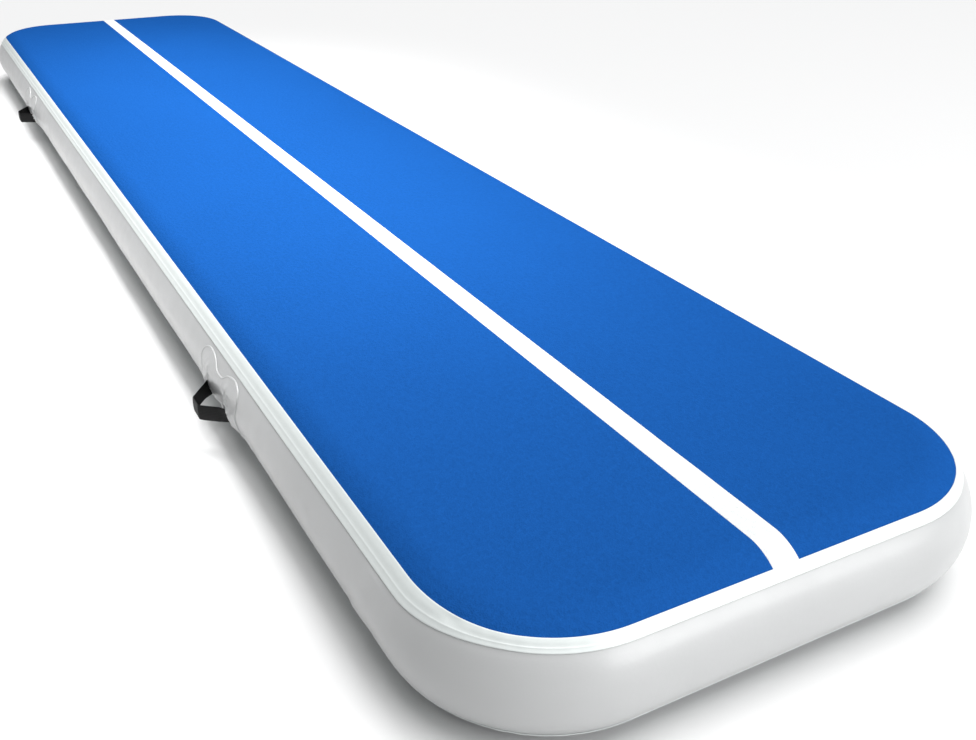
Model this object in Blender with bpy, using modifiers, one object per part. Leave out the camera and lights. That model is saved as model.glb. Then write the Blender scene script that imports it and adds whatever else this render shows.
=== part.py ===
"""Air track mat: a long inflatable tumbling mat, as an assembly of separate sub-parts.

Metres, +Z up. The origin is on the ground under the middle of the mat, X runs across it and
Y along it. The left side is -X, the near end is -Y, and the inflation valve is in the far end.

Two coordinates describe the bulging side wall. "Out" is how far a point stands from the edge of
the flat top, square to the mat's outline. "Angle" goes round the half-round section of the wall:
0 at the edge of the flat top, 90 degrees at the widest line, 180 at the edge of the flat bottom.
"""
import math

import bmesh
import bpy
from mathutils import Vector

# Overall size
LENGTH = 4.57
WIDTH = 1.00
THICKNESS = 0.20
CORNER_RADIUS = 0.25
SHOULDER = 0.09

# Coated fabric plies, and the clearance kept between pieces that touch
PLY = 0.0012
GAP = 0.0003
LAYER = PLY + GAP

# Where the plies end on the section of the wall, in degrees
PANEL_EDGE = 32.5
TAPE_EDGE = 52.0
SEAM_STEP = 0.3
WALL_STEP = 15

# White stripe along the middle of the top
STRIPE_WIDTH = 0.045
STRIPE_GAP = 0.0004

# Drop-stitch core: two base cloths and the bundles of yarn between them
CLOTH = 0.0025
YARN_RADIUS = 0.003
YARN_COLUMNS = 4
YARN_ROWS = 10

# Carry handles of webbing
NEAR_HANDLES = -1.265
FAR_HANDLES = 1.13
STRAP_WIDTH = 0.032
STRAP_PLY = 0.002
STRAP_HEIGHT = 0.074
LOOP_DEPTH = 0.045
LOOP_HALF_FRONT = 0.0225
LOOP_HALF_ROOT = 0.064
LOOP_BEND = 0.007
ROOT_STRAIGHT = 0.003
HINGE_OUT = 0.004
HINGE_STUB = 0.0105
HINGE_START = 0.013
HINGE_CONE = 45.0
TAIL_LENGTH = 0.040

# Reinforcement patch under each handle, with a slit for each end of the webbing
PATCH_HALF_LENGTH = 0.122
PATCH_DROP = 0.004
SLIT_INSIDE = 0.012
SLIT_OUTSIDE = 0.004
SLIT_TOP = 90
SLIT_BOTTOM = 120
PATCH_RISE_TOP = 75
PATCH_RISE_BOTTOM = 130
TAIL_MARGIN = 0.003

# Inflation valve, measured along its own axis from the widest line of the far wall
VALVE_HEIGHT = THICKNESS / 2
ROUND_STEPS = 20
BORE = 0.017
BARREL = 0.022
FLANGE = 0.030
FLANGE_HIGH = 0.0053
COLLAR_RADIUS = 0.023
COLLAR_HIGH = 0.0090
SADDLE_FACE = 0.0025
SADDLE_LIP = 0.001
SADDLE_LOW = -0.010
FLANGE_LOW = SADDLE_FACE + GAP
INNER_SADDLE_HIGH = 0.002
NUT_HIGH = -0.0080
NUT_LOW = -0.0140
SEAT_HIGH = -0.031
SEAT_LOW = -0.034
SEAT_HOLE = 0.011
GUIDE_HIGH = -0.028
GUIDE_RADIUS = 0.0055
GUIDE_WEB = 0.0015
MOULD_STEP = 0.0004

VALVE_PATCH_RADIUS = 0.052
VALVE_PATCH_SIDES = 24
VALVE_PATCH_HOLE = FLANGE + 0.0015

STEM_RADIUS = 0.0028
STEM_HIGH = -0.0108
PLATE_HIGH = -0.0360
PLATE_LOW = -0.0380
PLATE_RADIUS = 0.0130
BUTTON_RADIUS = 0.0080
BUTTON_HIGH = -0.0090
BUTTON_LOW = -0.0125
BUTTON_INSIDE = -0.0105
GRIP_HALF = (0.0060, 0.0011)
GRIP_HIGH = 0.0014

SPRING_RADIUS = 0.0052
SPRING_WIRE = 0.0005
SPRING_TURNS = 4.5
SPRING_STEPS = 8

# Tether ring, strap with its eye, and cap
TETHER_OUTSIDE = 0.0274
TETHER_LOW = 0.0056
TETHER_HIGH = 0.0072
TETHER_HALF = 0.005
EYE_INSIDE = 0.0154
EYE_OUTSIDE = 0.0200
EYE_LOW = 0.0104
EYE_HIGH = 0.0120
EYE_ARM_HALF = 0.0045
CAP_HINGE = 0.0302
HINGE_POST = 0.0016
HINGE_SPACE = 0.0011
CAP_RADIUS = 0.0250
CAP_DISC_LOW = 0.0124
CAP_DISC_HIGH = 0.0154
CAP_NECK = 0.0149
CAP_LUG = 0.0159
CAP_GROOVE = 0.0145
CAP_LOW = 0.0045
CAP_WING_HALF = (0.0160, 0.0020)
CAP_WING_HIGH = 0.0030
CAP_SEAL = (0.0148, 0.0163)
OVERLAP = 0.0005

MID = THICKNESS / 2
WALL_RISE = MID - LAYER
FLAT_X = WIDTH / 2 - SHOULDER
FLAT_Y = LENGTH / 2 - SHOULDER
FLAT_CORNER = CORNER_RADIUS - SHOULDER
CORNER_STEPS = 6

BLUE = (0.035, 0.20, 0.62)
WHITE = (0.90, 0.92, 0.91)
TAPE_WHITE = (0.80, 0.84, 0.83)
WALL_GREY = (0.60, 0.61, 0.63)
BASE_GREY = (0.42, 0.43, 0.45)
YARN_WHITE = (0.75, 0.75, 0.72)
WEBBING_BLACK = (0.012, 0.012, 0.013)
VALVE_GREY = (0.22, 0.23, 0.25)
VALVE_BLACK = (0.03, 0.03, 0.033)
RUBBER_BLACK = (0.02, 0.02, 0.02)
SPRING_STEEL = (0.60, 0.60, 0.62)


# ---------------------------------------------------------------- scene and materials

def clear_scene():
    for item in list(bpy.data.objects):
        bpy.data.objects.remove(item, do_unlink=True)


def new_collection(name):
    group = bpy.data.collections.new(name)
    bpy.context.scene.collection.children.link(group)
    return group


def material(name, colour, roughness, metallic=0.0):
    finish = bpy.data.materials.new(name)
    finish.use_nodes = True
    shader = finish.node_tree.nodes["Principled BSDF"]
    shader.inputs["Base Color"].default_value = (*colour, 1.0)
    shader.inputs["Roughness"].default_value = roughness
    shader.inputs["Metallic"].default_value = metallic
    return finish


def new_object(name, mesh, group, finish=None):
    piece = bpy.data.objects.new(name, mesh)
    group.objects.link(piece)
    if finish is not None:
        mesh.materials.clear()
        mesh.materials.append(finish)
    return piece


def smooth(piece, angle=35.0):
    piece.data.shade_smooth()
    piece.data.set_sharp_from_angle(angle=math.radians(angle))


def finish_mesh(bm, name):
    bmesh.ops.recalc_face_normals(bm, faces=bm.faces[:])
    mesh = bpy.data.meshes.new(name)
    bm.to_mesh(mesh)
    bm.free()
    return mesh


def hide_cutter(piece):
    piece.hide_render = True
    piece.display_type = "WIRE"


def boolean(piece, other, operation):
    step = piece.modifiers.new(operation.title(), "BOOLEAN")
    step.operation = operation
    step.object = other
    step.solver = "EXACT"


def solidify(piece, thickness, offset):
    step = piece.modifiers.new("Ply", "SOLIDIFY")
    step.thickness = thickness
    step.offset = offset
    step.use_even_offset = True


# ---------------------------------------------------------------- outlines and curves

def arc(centre, radius, start, end, steps):
    """Points on an arc, in the plane of the outline, angles in degrees."""
    points = []
    for index in range(steps + 1):
        turn = math.radians(start + (end - start) * index / steps)
        points.append((centre[0] + radius * math.cos(turn), centre[1] + radius * math.sin(turn)))
    return points


def rounded_rectangle(half_x, half_y, radius, steps):
    points = []
    corners = ((1, 1, 0), (-1, 1, 90), (-1, -1, 180), (1, -1, 270))
    for side_x, side_y, start in corners:
        centre = (side_x * (half_x - radius), side_y * (half_y - radius))
        points += arc(centre, radius, start, start + 90, steps)
    return points


def poly_curve(name, points, cyclic):
    curve = bpy.data.curves.new(name, "CURVE")
    curve.dimensions = "2D"
    curve.fill_mode = "NONE"
    spline = curve.splines.new("POLY")
    spline.points.add(len(points) - 1)
    for knot, (x, y) in zip(spline.points, points):
        knot.co = (x, y, 0.0, 1.0)
    spline.use_cyclic_u = cyclic
    return curve


def curve_to_mesh(holder):
    """Evaluated mesh of a curve object, with its seams welded; the curve object is removed."""
    depsgraph = bpy.context.evaluated_depsgraph_get()
    mesh = bpy.data.meshes.new_from_object(holder.evaluated_get(depsgraph))
    bm = bmesh.new()
    bm.from_mesh(mesh)
    bmesh.ops.remove_doubles(bm, verts=bm.verts[:], dist=1e-6)
    bpy.data.objects.remove(holder, do_unlink=True)
    return bm


def swept(points, section, section_closed, height):
    """A section carried round a closed outline. Section points are (out, up)."""
    path = poly_curve("path", points, True)
    profile = poly_curve("profile", [(-out, up) for out, up in section], section_closed)
    scene_group = bpy.context.scene.collection
    profile_holder = bpy.data.objects.new("profile", profile)
    scene_group.objects.link(profile_holder)
    holder = bpy.data.objects.new("path", path)
    scene_group.objects.link(holder)
    path.bevel_mode = "OBJECT"
    path.bevel_object = profile_holder
    bpy.context.view_layer.update()
    bm = curve_to_mesh(holder)
    bpy.data.objects.remove(profile_holder, do_unlink=True)
    bmesh.ops.translate(bm, verts=bm.verts[:], vec=(0.0, 0.0, height))
    return bm


def flat_sheet(points, creases_x=(), creases_y=()):
    """A filled flat outline, split along straight creases so that it can be folded."""
    curve = poly_curve("outline", points, True)
    curve.fill_mode = "FRONT"
    holder = bpy.data.objects.new("outline", curve)
    bpy.context.scene.collection.objects.link(holder)
    bpy.context.view_layer.update()
    bm = curve_to_mesh(holder)
    inner = [edge for edge in bm.edges if not edge.is_boundary]
    bmesh.ops.dissolve_edges(bm, edges=inner, use_verts=False)
    for axis, creases in ((0, creases_x), (1, creases_y)):
        normal = Vector((1.0, 0.0, 0.0)) if axis == 0 else Vector((0.0, 1.0, 0.0))
        for place in creases:
            everything = bm.verts[:] + bm.edges[:] + bm.faces[:]
            bmesh.ops.bisect_plane(bm, geom=everything, dist=1e-7,
                                   plane_co=normal * place, plane_no=normal)
    return bm


def fold(bm, rule):
    for vert in bm.verts:
        vert.co = rule(vert.co.x, vert.co.y)


# ---------------------------------------------------------------- the wall's section

def wall_corner(angle, lift):
    """(out, up) of the wall's section at an angle, lifted off its outer face."""
    turn = math.radians(angle)
    return (SHOULDER + lift) * math.sin(turn), (WALL_RISE + lift) * math.cos(turn)


def wall_point(angle, lift):
    """(out, up) on the faceted section, straight between the corners of the wall's section."""
    low = math.floor(angle / WALL_STEP) * WALL_STEP
    share = (angle - low) / WALL_STEP
    first = wall_corner(low, lift)
    second = wall_corner(low + WALL_STEP, lift)
    return tuple(a + (b - a) * share for a, b in zip(first, second))


def angle_at(height):
    """Angle of the wall's section at a height above the ground."""
    return math.degrees(math.acos((height - MID) / WALL_RISE))


def wall_angles(start, end):
    """Angles from start to end, with every corner of the wall's section between them."""
    inner = [step for step in range(0, 181, WALL_STEP) if start < step < end]
    return [start, *inner, end]


def outline():
    return rounded_rectangle(FLAT_X, FLAT_Y, FLAT_CORNER, CORNER_STEPS)


def ring_section(start, end, low, high):
    """Closed section of a ply on the wall, between two lifts and two angles."""
    angles = wall_angles(start, end)
    outer = [wall_point(angle, high) for angle in angles]
    inner = [wall_point(angle, low) for angle in reversed(angles)]
    return outer + inner


def wall_ring(name, start, end, low, high, group, finish):
    bm = swept(outline(), ring_section(start, end, low, high), True, MID)
    piece = new_object(name, finish_mesh(bm, name), group, finish)
    smooth(piece)
    return piece


def envelope(name, lift, group):
    """The mat's whole closed shape at a lift, for cutting pieces to the wall's curve."""
    section = [wall_point(angle, lift) for angle in wall_angles(0, 180)]
    bm = swept(outline(), section, False, MID)
    rims = [edge for edge in bm.edges if edge.is_boundary]
    bmesh.ops.holes_fill(bm, edges=rims, sides=0)
    piece = new_object(name, finish_mesh(bm, name), group)
    hide_cutter(piece)
    return piece


# ---------------------------------------------------------------- skins and core

def cap_surface(upward):
    """The flat face and its turned-down edge, as an open surface at the panels' inner face."""
    angles = wall_angles(0, PANEL_EDGE - SEAM_STEP / 2)
    sign = 1 if upward else -1
    section = []
    for angle in angles:
        out, up = wall_point(angle, GAP)
        section.append((out, sign * up))
    bm = swept(outline(), section, False, MID)
    level = MID + sign * (WALL_RISE + GAP)
    rim = [
        edge for edge in bm.edges
        if edge.is_boundary and all(abs(v.co.z - level) < 1e-5 for v in edge.verts)
    ]
    bmesh.ops.holes_fill(bm, edges=rim, sides=0)
    bmesh.ops.recalc_face_normals(bm, faces=bm.faces[:])
    flat = max(bm.faces, key=lambda face: face.calc_area())
    if flat.normal.z * sign < 0:
        bmesh.ops.reverse_faces(bm, faces=bm.faces[:])
    return bm


def keep_between(bm, low, high):
    """Cuts a surface off outside low and high, across the mat."""
    for place, outward in ((low, -1), (high, 1)):
        if place is not None:
            everything = bm.verts[:] + bm.edges[:] + bm.faces[:]
            bmesh.ops.bisect_plane(bm, geom=everything, dist=1e-7, plane_co=(place, 0.0, 0.0),
                                   plane_no=(outward, 0.0, 0.0), clear_outer=True)


def skin(name, upward, low, high, group, finish):
    bm = cap_surface(upward)
    keep_between(bm, low, high)
    mesh = bpy.data.meshes.new(name)
    bm.to_mesh(mesh)
    bm.free()
    piece = new_object(name, mesh, group, finish)
    solidify(piece, PLY, 1.0)
    smooth(piece)
    return piece


def drop_stitch_core(group, cutters, finish):
    """Two base cloths held apart by yarns, one body, open all round its edge."""
    bm = bmesh.new()
    half = WALL_RISE
    reach = 2 * half - CLOTH
    for row in range(YARN_ROWS):
        for column in range(YARN_COLUMNS):
            made = bmesh.ops.create_cone(bm, cap_ends=True, segments=5, radius1=YARN_RADIUS,
                                         radius2=YARN_RADIUS, depth=reach)
            place = Vector((
                (column - (YARN_COLUMNS - 1) / 2) * 2 * FLAT_X / YARN_COLUMNS,
                (row - (YARN_ROWS - 1) / 2) * 2 * FLAT_Y / YARN_ROWS,
                MID,
            ))
            bmesh.ops.translate(bm, verts=made["verts"], vec=place)
    core = new_object("drop_stitch_core", finish_mesh(bm, "drop_stitch_core"), group, finish)
    for label, sign in (("upper", 1), ("lower", -1)):
        edge = rounded_rectangle(FLAT_X - GAP, FLAT_Y - GAP, FLAT_CORNER, CORNER_STEPS)
        curve = poly_curve(f"{label}_cloth", edge, True)
        curve.fill_mode = "BOTH"
        curve.extrude = CLOTH / 2
        holder = bpy.data.objects.new(f"{label}_cloth", curve)
        bpy.context.scene.collection.objects.link(holder)
        bpy.context.view_layer.update()
        sheet = curve_to_mesh(holder)
        bmesh.ops.translate(sheet, verts=sheet.verts[:],
                            vec=(0.0, 0.0, MID + sign * (half - CLOTH / 2)))
        cloth = new_object(f"{label}_cloth", finish_mesh(sheet, f"{label}_cloth"), cutters)
        hide_cutter(cloth)
        boolean(core, cloth, "UNION")
    return core


# ---------------------------------------------------------------- carry handles

def strap_plan():
    """Centre line of the webbing seen from above, (out, along), one root to the other."""
    slope = math.atan2(LOOP_DEPTH - ROOT_STRAIGHT, LOOP_HALF_ROOT - LOOP_HALF_FRONT)
    back = LOOP_BEND * math.tan(slope / 2)
    centre_along = LOOP_HALF_FRONT - back
    centre_out = LOOP_DEPTH - LOOP_BEND
    bend = []
    for step in range(4):
        turn = slope * (1 - step / 3)
        bend.append((centre_out + LOOP_BEND * math.cos(turn),
                     centre_along + LOOP_BEND * math.sin(turn)))
    half = [(ROOT_STRAIGHT, LOOP_HALF_ROOT), *bend]
    mirrored = [(out, -along) for out, along in reversed(half)]
    return half + mirrored


def lengths_along(plan):
    """Distance of each point of a plan from its middle, positive towards the end."""
    total = [0.0]
    for first, second in zip(plan, plan[1:]):
        total.append(total[-1] + math.dist(first, second))
    return [length - total[-1] / 2 for length in total]


def along_plan(plan, lengths, length):
    """The point at a length along a plan."""
    for index in range(len(plan) - 1):
        if length <= lengths[index + 1] or index == len(plan) - 2:
            share = (length - lengths[index]) / (lengths[index + 1] - lengths[index])
            first, second = plan[index], plan[index + 1]
            return tuple(a + (b - a) * share for a, b in zip(first, second))


def loop_mesh(name):
    """The part of the webbing that swings, with its roots shaped round the hinge line."""
    plan = strap_plan()
    lengths = lengths_along(plan)
    leg_start, leg_end = plan[0], plan[1]
    leg_length = math.dist(leg_start, leg_end)

    def length_at(out):
        return lengths[0] + leg_length * (out - leg_start[0]) / (leg_end[0] - leg_start[0])

    half = STRAP_WIDTH / 2
    end = [(length_at(HINGE_OUT + half / math.tan(math.radians(HINGE_CONE))), half)]
    for out, up in arc((0.0, 0.0), HINGE_START, HINGE_CONE, -HINGE_CONE, 4):
        end.append((length_at(HINGE_OUT + out), up))
    end.append((end[0][0], -half))
    pattern = end + [(-length, up) for length, up in reversed(end)]
    bm = flat_sheet(pattern, creases_x=lengths[1:-1])

    def rule(length, up):
        out, along = along_plan(plan, lengths, length)
        return Vector((out - HINGE_OUT, along, up))

    fold(bm, rule)
    return finish_mesh(bm, name)


def tail_angles():
    top = angle_at(STRAP_HEIGHT + STRAP_WIDTH / 2)
    bottom = angle_at(STRAP_HEIGHT - STRAP_WIDTH / 2)
    return top, bottom


def on_wall(along, angle, lift):
    """A point on the right-hand wall in a handle's own frame, whose origin is on its hinge."""
    out, up = wall_point(angle, lift)
    return Vector((out - SHOULDER - HINGE_OUT, along, MID + up - STRAP_HEIGHT))


def tail_plate(name, side):
    """The end of the webbing that lies on the wall."""
    top, bottom = tail_angles()
    near = side * (LOOP_HALF_ROOT - STRAP_PLY / 2)
    far = side * (LOOP_HALF_ROOT + TAIL_LENGTH)
    pattern = [(near, top), (far, top), (far, bottom), (near, bottom)]
    bm = flat_sheet(pattern, creases_y=[a for a in wall_angles(top, bottom)[1:-1]])
    fold(bm, lambda along, angle: on_wall(along, angle, GAP + STRAP_PLY / 2))
    return finish_mesh(bm, name)


def stub_mesh(name, side):
    """The end of the webbing where it stands off the wall, up to the hinge line."""
    half = STRAP_WIDTH / 2
    top, bottom = tail_angles()
    root = []
    for step in range(5):
        angle = bottom + (top - bottom) * step / 4
        out, up = wall_point(angle, GAP + STRAP_PLY / 2)
        root.append((out - SHOULDER, MID + up - STRAP_HEIGHT))
    front = arc((HINGE_OUT, 0.0), HINGE_STUB, 90, -90, 8)
    shoulder_out = HINGE_OUT - GAP
    pattern = [*root, (shoulder_out, root[-1][1]), (shoulder_out, HINGE_STUB), *front[1:-1],
               (shoulder_out, -HINGE_STUB), (shoulder_out, root[0][1])]
    bm = flat_sheet(pattern, creases_x=[ROOT_STRAIGHT])
    plan = strap_plan()
    slope = (plan[0][1] - plan[1][1]) / (plan[1][0] - plan[0][0])

    def rule(out, up):
        along = LOOP_HALF_ROOT - max(0.0, out - ROOT_STRAIGHT) * slope
        return Vector((out - HINGE_OUT, side * along, up))

    fold(bm, rule)
    return finish_mesh(bm, name)


def patch_outline():
    """Bone shape: four round lobes, a waist between the straps and a notch in each end."""
    quarter = [
        (0.000, 0.0405), (0.022, 0.0430), (0.041, 0.0530), (0.063, 0.0590), (0.088, 0.0595),
        (0.111, 0.0510), (PATCH_HALF_LENGTH, 0.0350), (0.1190, 0.0170), (0.1140, 0.0000),
    ]
    right = quarter + [(x, -y) for x, y in reversed(quarter[:-1])]
    left = [(-x, y) for x, y in reversed(right[1:-1])]
    return [(x, y - PATCH_DROP) for x, y in right + left]


def ramp(value, start, full):
    """0 at start, 1 at full and beyond."""
    return min(1.0, max(0.0, (value - start) / (full - start)))


def patch_mesh(name):
    """Reinforcement patch folded on the wall, raised over the webbing's two tails."""
    per_degree = WALL_RISE * math.pi / 180
    slit_in, slit_out = LOOP_HALF_ROOT - SLIT_INSIDE, LOOP_HALF_ROOT + SLIT_OUTSIDE
    raised = STRAP_PLY + GAP
    ramp_start = LOOP_HALF_ROOT + TAIL_LENGTH + TAIL_MARGIN
    ramp_end = PATCH_HALF_LENGTH
    creases = [place * side for place in (slit_in, slit_out, ramp_start) for side in (-1, 1)]
    angles = range(4 * WALL_STEP, 180 - 3 * WALL_STEP, WALL_STEP)
    bm = flat_sheet(patch_outline(), creases, [(90 - a) * per_degree for a in angles])

    def in_slit(face):
        centre = face.calc_center_median()
        angle = 90 - centre.y / per_degree
        return slit_in < abs(centre.x) < slit_out and SLIT_TOP < angle < SLIT_BOTTOM

    cut = [face for face in bm.faces if in_slit(face)]
    bmesh.ops.delete(bm, geom=cut, context="FACES")

    def rule(along, rise):
        angle = 90 - rise / per_degree
        share = ramp(abs(along), slit_in, slit_out)
        share *= 1 - ramp(abs(along), ramp_start, ramp_end)
        share *= ramp(angle, PATCH_RISE_TOP, SLIT_TOP)
        share *= 1 - ramp(angle, SLIT_BOTTOM, PATCH_RISE_BOTTOM)
        return on_wall(along, angle, GAP + raised * share)

    fold(bm, rule)
    return finish_mesh(bm, name)


def face_outward(piece):
    """Turns an open sheet's faces to its own +X, so that Solidify thickens it outward."""
    total = sum((face.normal * face.area for face in piece.data.polygons), Vector())
    if total.x < 0:
        piece.data.flip_normals()


def place_on_side(piece, side, along):
    """Puts a piece built on the right-hand wall at its handle, on either side of the mat."""
    piece.location = (side * (WIDTH / 2 + HINGE_OUT), along, STRAP_HEIGHT)
    piece.rotation_euler = (0.0, 0.0, 0.0 if side > 0 else math.pi)


def carry_handle(label, side, along, group, cutters, finishes):
    name = f"handle_patch_{label}"
    patch = new_object(name, patch_mesh(name), group, finishes["patch"])
    face_outward(patch)
    solidify(patch, PLY, 1.0)
    name = f"handle_loop_{label}"
    loop = new_object(name, loop_mesh(name), group, finishes["webbing"])
    solidify(loop, STRAP_PLY, 0.0)
    pieces = [patch, loop]
    for number, end in ((1, 1), (2, -1)):
        name = f"handle_tail_{label}_{number}"
        tail = new_object(name, tail_plate(name, end), group, finishes["webbing"])
        solidify(tail, STRAP_PLY, 0.0)
        stub_name = f"{name}_stub"
        stub = new_object(stub_name, stub_mesh(stub_name, end), cutters)
        solidify(stub, STRAP_PLY, 0.0)
        hide_cutter(stub)
        boolean(tail, stub, "UNION")
        place_on_side(stub, side, along)
        pieces.append(tail)
    for piece in pieces:
        place_on_side(piece, side, along)
        smooth(piece)


# ---------------------------------------------------------------- inflation valve

def place_on_valve(piece):
    """Local +Z becomes the valve's axis, out of the far wall; local +Y points down."""
    piece.location = (0.0, LENGTH / 2, VALVE_HEIGHT)
    piece.rotation_euler = (-math.pi / 2, 0.0, 0.0)


def turned(name, profile, closed, group, finish=None, steps=ROUND_STEPS):
    """A turned piece on the valve's axis. Profile points are (radius, out along the axis)."""
    bm = bmesh.new()
    verts = [bm.verts.new((radius, 0.0, out)) for radius, out in profile]
    pairs = list(zip(verts, verts[1:]))
    if closed:
        pairs.append((verts[-1], verts[0]))
    for first, second in pairs:
        bm.edges.new((first, second))
    mesh = bpy.data.meshes.new(name)
    bm.to_mesh(mesh)
    bm.free()
    piece = new_object(name, mesh, group, finish)
    screw = piece.modifiers.new("Turn", "SCREW")
    screw.axis = "Z"
    screw.angle = math.tau
    screw.steps = steps
    screw.render_steps = steps
    screw.use_merge_vertices = True
    screw.merge_threshold = 0.00001
    screw.use_smooth_shade = True
    place_on_valve(piece)
    return piece


def tube(name, inner, outer, low, high, group, finish=None):
    profile = [(inner, high), (outer, high), (outer, low), (inner, low)]
    return turned(name, profile, True, group, finish)


def rod(name, radius, low, high, group, finish=None):
    profile = [(0.0, high), (radius, high), (radius, low), (0.0, low)]
    return turned(name, profile, False, group, finish)


def block(name, low, high, group, finish=None):
    """A box in the valve's own frame."""
    bm = bmesh.new()
    bmesh.ops.create_cube(bm, size=1.0)
    size = [b - a for a, b in zip(low, high)]
    centre = [(a + b) / 2 for a, b in zip(low, high)]
    bmesh.ops.scale(bm, verts=bm.verts[:], vec=size)
    bmesh.ops.translate(bm, verts=bm.verts[:], vec=centre)
    piece = new_object(name, finish_mesh(bm, name), group, finish)
    place_on_valve(piece)
    return piece


def cutter(piece):
    hide_cutter(piece)
    return piece


def valve_body(group, cutters, finish):
    """Flange, collar and barrel, with the seat and the guide for the stem at its inner end."""
    profile = [
        (BORE, COLLAR_HIGH), (COLLAR_RADIUS, COLLAR_HIGH), (COLLAR_RADIUS, FLANGE_HIGH),
        (FLANGE, FLANGE_HIGH), (FLANGE, FLANGE_LOW), (BARREL, FLANGE_LOW), (BARREL, SEAT_LOW),
        (SEAT_HOLE, SEAT_LOW), (SEAT_HOLE, SEAT_HIGH), (BORE, SEAT_HIGH),
    ]
    body = turned("valve_body", profile, True, group, finish)
    reach = (BORE + BARREL) / 2
    for label, across in (("guide_x", (reach, GUIDE_WEB)), ("guide_y", (GUIDE_WEB, reach))):
        low = (-across[0], -across[1], SEAT_HIGH + OVERLAP)
        high = (across[0], across[1], GUIDE_HIGH)
        boolean(body, cutter(block(label, low, high, cutters)), "UNION")
    hub = cutter(rod("guide_hub", GUIDE_RADIUS, SEAT_HIGH + MOULD_STEP / 2,
                     GUIDE_HIGH + MOULD_STEP, cutters))
    boolean(body, hub, "UNION")
    hole = cutter(rod("guide_hole", STEM_RADIUS + MOULD_STEP, SEAT_LOW,
                      GUIDE_HIGH + BORE / 4, cutters))
    boolean(body, hole, "DIFFERENCE")


def valve_gaskets(group, cutters, finish, outer_shape, inner_shape):
    """Saddles that fill between the flat flange or nut and the curved wall."""
    inner_radius = BARREL + GAP
    outer = tube("valve_saddle_outer", inner_radius, FLANGE + SADDLE_LIP, SADDLE_LOW, SADDLE_FACE,
                 group, finish)
    boolean(outer, outer_shape, "DIFFERENCE")
    inner = tube("valve_saddle_inner", inner_radius, FLANGE - SADDLE_LIP, NUT_HIGH + GAP,
                 INNER_SADDLE_HIGH, group, finish)
    boolean(inner, inner_shape, "INTERSECT")


def valve_wall(across, angle, lift):
    """A point on the far wall, in world coordinates."""
    out, up = wall_point(angle, lift)
    return Vector((across, FLAT_Y + out, MID + up))


def valve_patch(group, cutters, finish):
    """Round reinforcement patch on the wall around the valve's saddle."""
    per_degree = WALL_RISE * math.pi / 180
    last = 360 - 360 / VALVE_PATCH_SIDES
    outer = arc((0.0, 0.0), VALVE_PATCH_RADIUS, 0, last, VALVE_PATCH_SIDES - 1)
    angles = range(4 * WALL_STEP, 180 - 3 * WALL_STEP, WALL_STEP)
    bm = flat_sheet(outer, (), [(90 - a) * per_degree for a in angles])
    fold(bm, lambda across, rise: valve_wall(across, 90 - rise / per_degree, GAP))
    piece = new_object("valve_patch", finish_mesh(bm, "valve_patch"), group, finish)
    total = sum((face.normal * face.area for face in piece.data.polygons), Vector())
    if total.y < 0:
        piece.data.flip_normals()
    solidify(piece, PLY, 1.0)
    hole = rod("patch_hole", VALVE_PATCH_HOLE, 3 * SADDLE_LOW, -3 * SADDLE_LOW, cutters)
    boolean(piece, cutter(hole), "DIFFERENCE")


def valve_plunger(group, cutters, finishes):
    stem_profile = [
        (0.0, STEM_HIGH), (STEM_RADIUS, STEM_HIGH), (STEM_RADIUS, PLATE_HIGH),
        (PLATE_RADIUS, PLATE_HIGH), (PLATE_RADIUS, PLATE_LOW), (0.0, PLATE_LOW),
    ]
    turned("valve_stem", stem_profile, False, group, finishes["valve"])
    tube("valve_seal", STEM_RADIUS + GAP, PLATE_RADIUS, PLATE_HIGH + GAP, SEAT_LOW - GAP, group,
         finishes["rubber"])
    button_profile = [
        (0.0, BUTTON_HIGH), (BUTTON_RADIUS, BUTTON_HIGH), (BUTTON_RADIUS, BUTTON_LOW),
        (STEM_RADIUS + GAP, BUTTON_LOW), (STEM_RADIUS + GAP, BUTTON_INSIDE), (0.0, BUTTON_INSIDE),
    ]
    button = turned("valve_button", button_profile, False, group, finishes["button"])
    grip = block("button_grip", (-GRIP_HALF[0], -GRIP_HALF[1], BUTTON_HIGH - OVERLAP),
                 (*GRIP_HALF, BUTTON_HIGH + GRIP_HIGH), cutters)
    boolean(button, cutter(grip), "UNION")


def valve_spring(group, finish):
    """Return spring round the stem, between the guide and the button."""
    start = GUIDE_HIGH + MOULD_STEP + GAP + SPRING_WIRE
    end = BUTTON_LOW - GAP - SPRING_WIRE
    count = int(SPRING_TURNS * SPRING_STEPS)
    curve = bpy.data.curves.new("valve_spring", "CURVE")
    curve.dimensions = "3D"
    curve.bevel_depth = SPRING_WIRE
    curve.bevel_resolution = 1
    curve.use_fill_caps = True
    spline = curve.splines.new("POLY")
    spline.points.add(count)
    for index, knot in enumerate(spline.points):
        turn = math.tau * index / SPRING_STEPS
        height = start + (end - start) * index / count
        knot.co = (SPRING_RADIUS * math.cos(turn), SPRING_RADIUS * math.sin(turn), height, 1.0)
    curve.materials.append(finish)
    piece = bpy.data.objects.new("valve_spring", curve)
    group.objects.link(piece)
    place_on_valve(piece)


def valve_tether(group, cutters, finish):
    """Ring that turns on the collar, with the arm and the post that carry the cap's hinge."""
    tether = tube("valve_tether", COLLAR_RADIUS + MOULD_STEP, TETHER_OUTSIDE, TETHER_LOW,
                  TETHER_HIGH, group, finish)
    post_in = CAP_HINGE + HINGE_POST
    post_out = post_in + HINGE_POST
    arm = block("tether_arm", (-TETHER_HALF, TETHER_OUTSIDE - 2 * OVERLAP, TETHER_LOW),
                (TETHER_HALF, post_out, TETHER_HIGH), cutters)
    post = block("tether_post", (-TETHER_HALF, post_in, TETHER_LOW + MOULD_STEP),
                 (TETHER_HALF, post_out, EYE_HIGH), cutters)
    boolean(tether, cutter(arm), "UNION")
    boolean(tether, cutter(post), "UNION")


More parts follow.
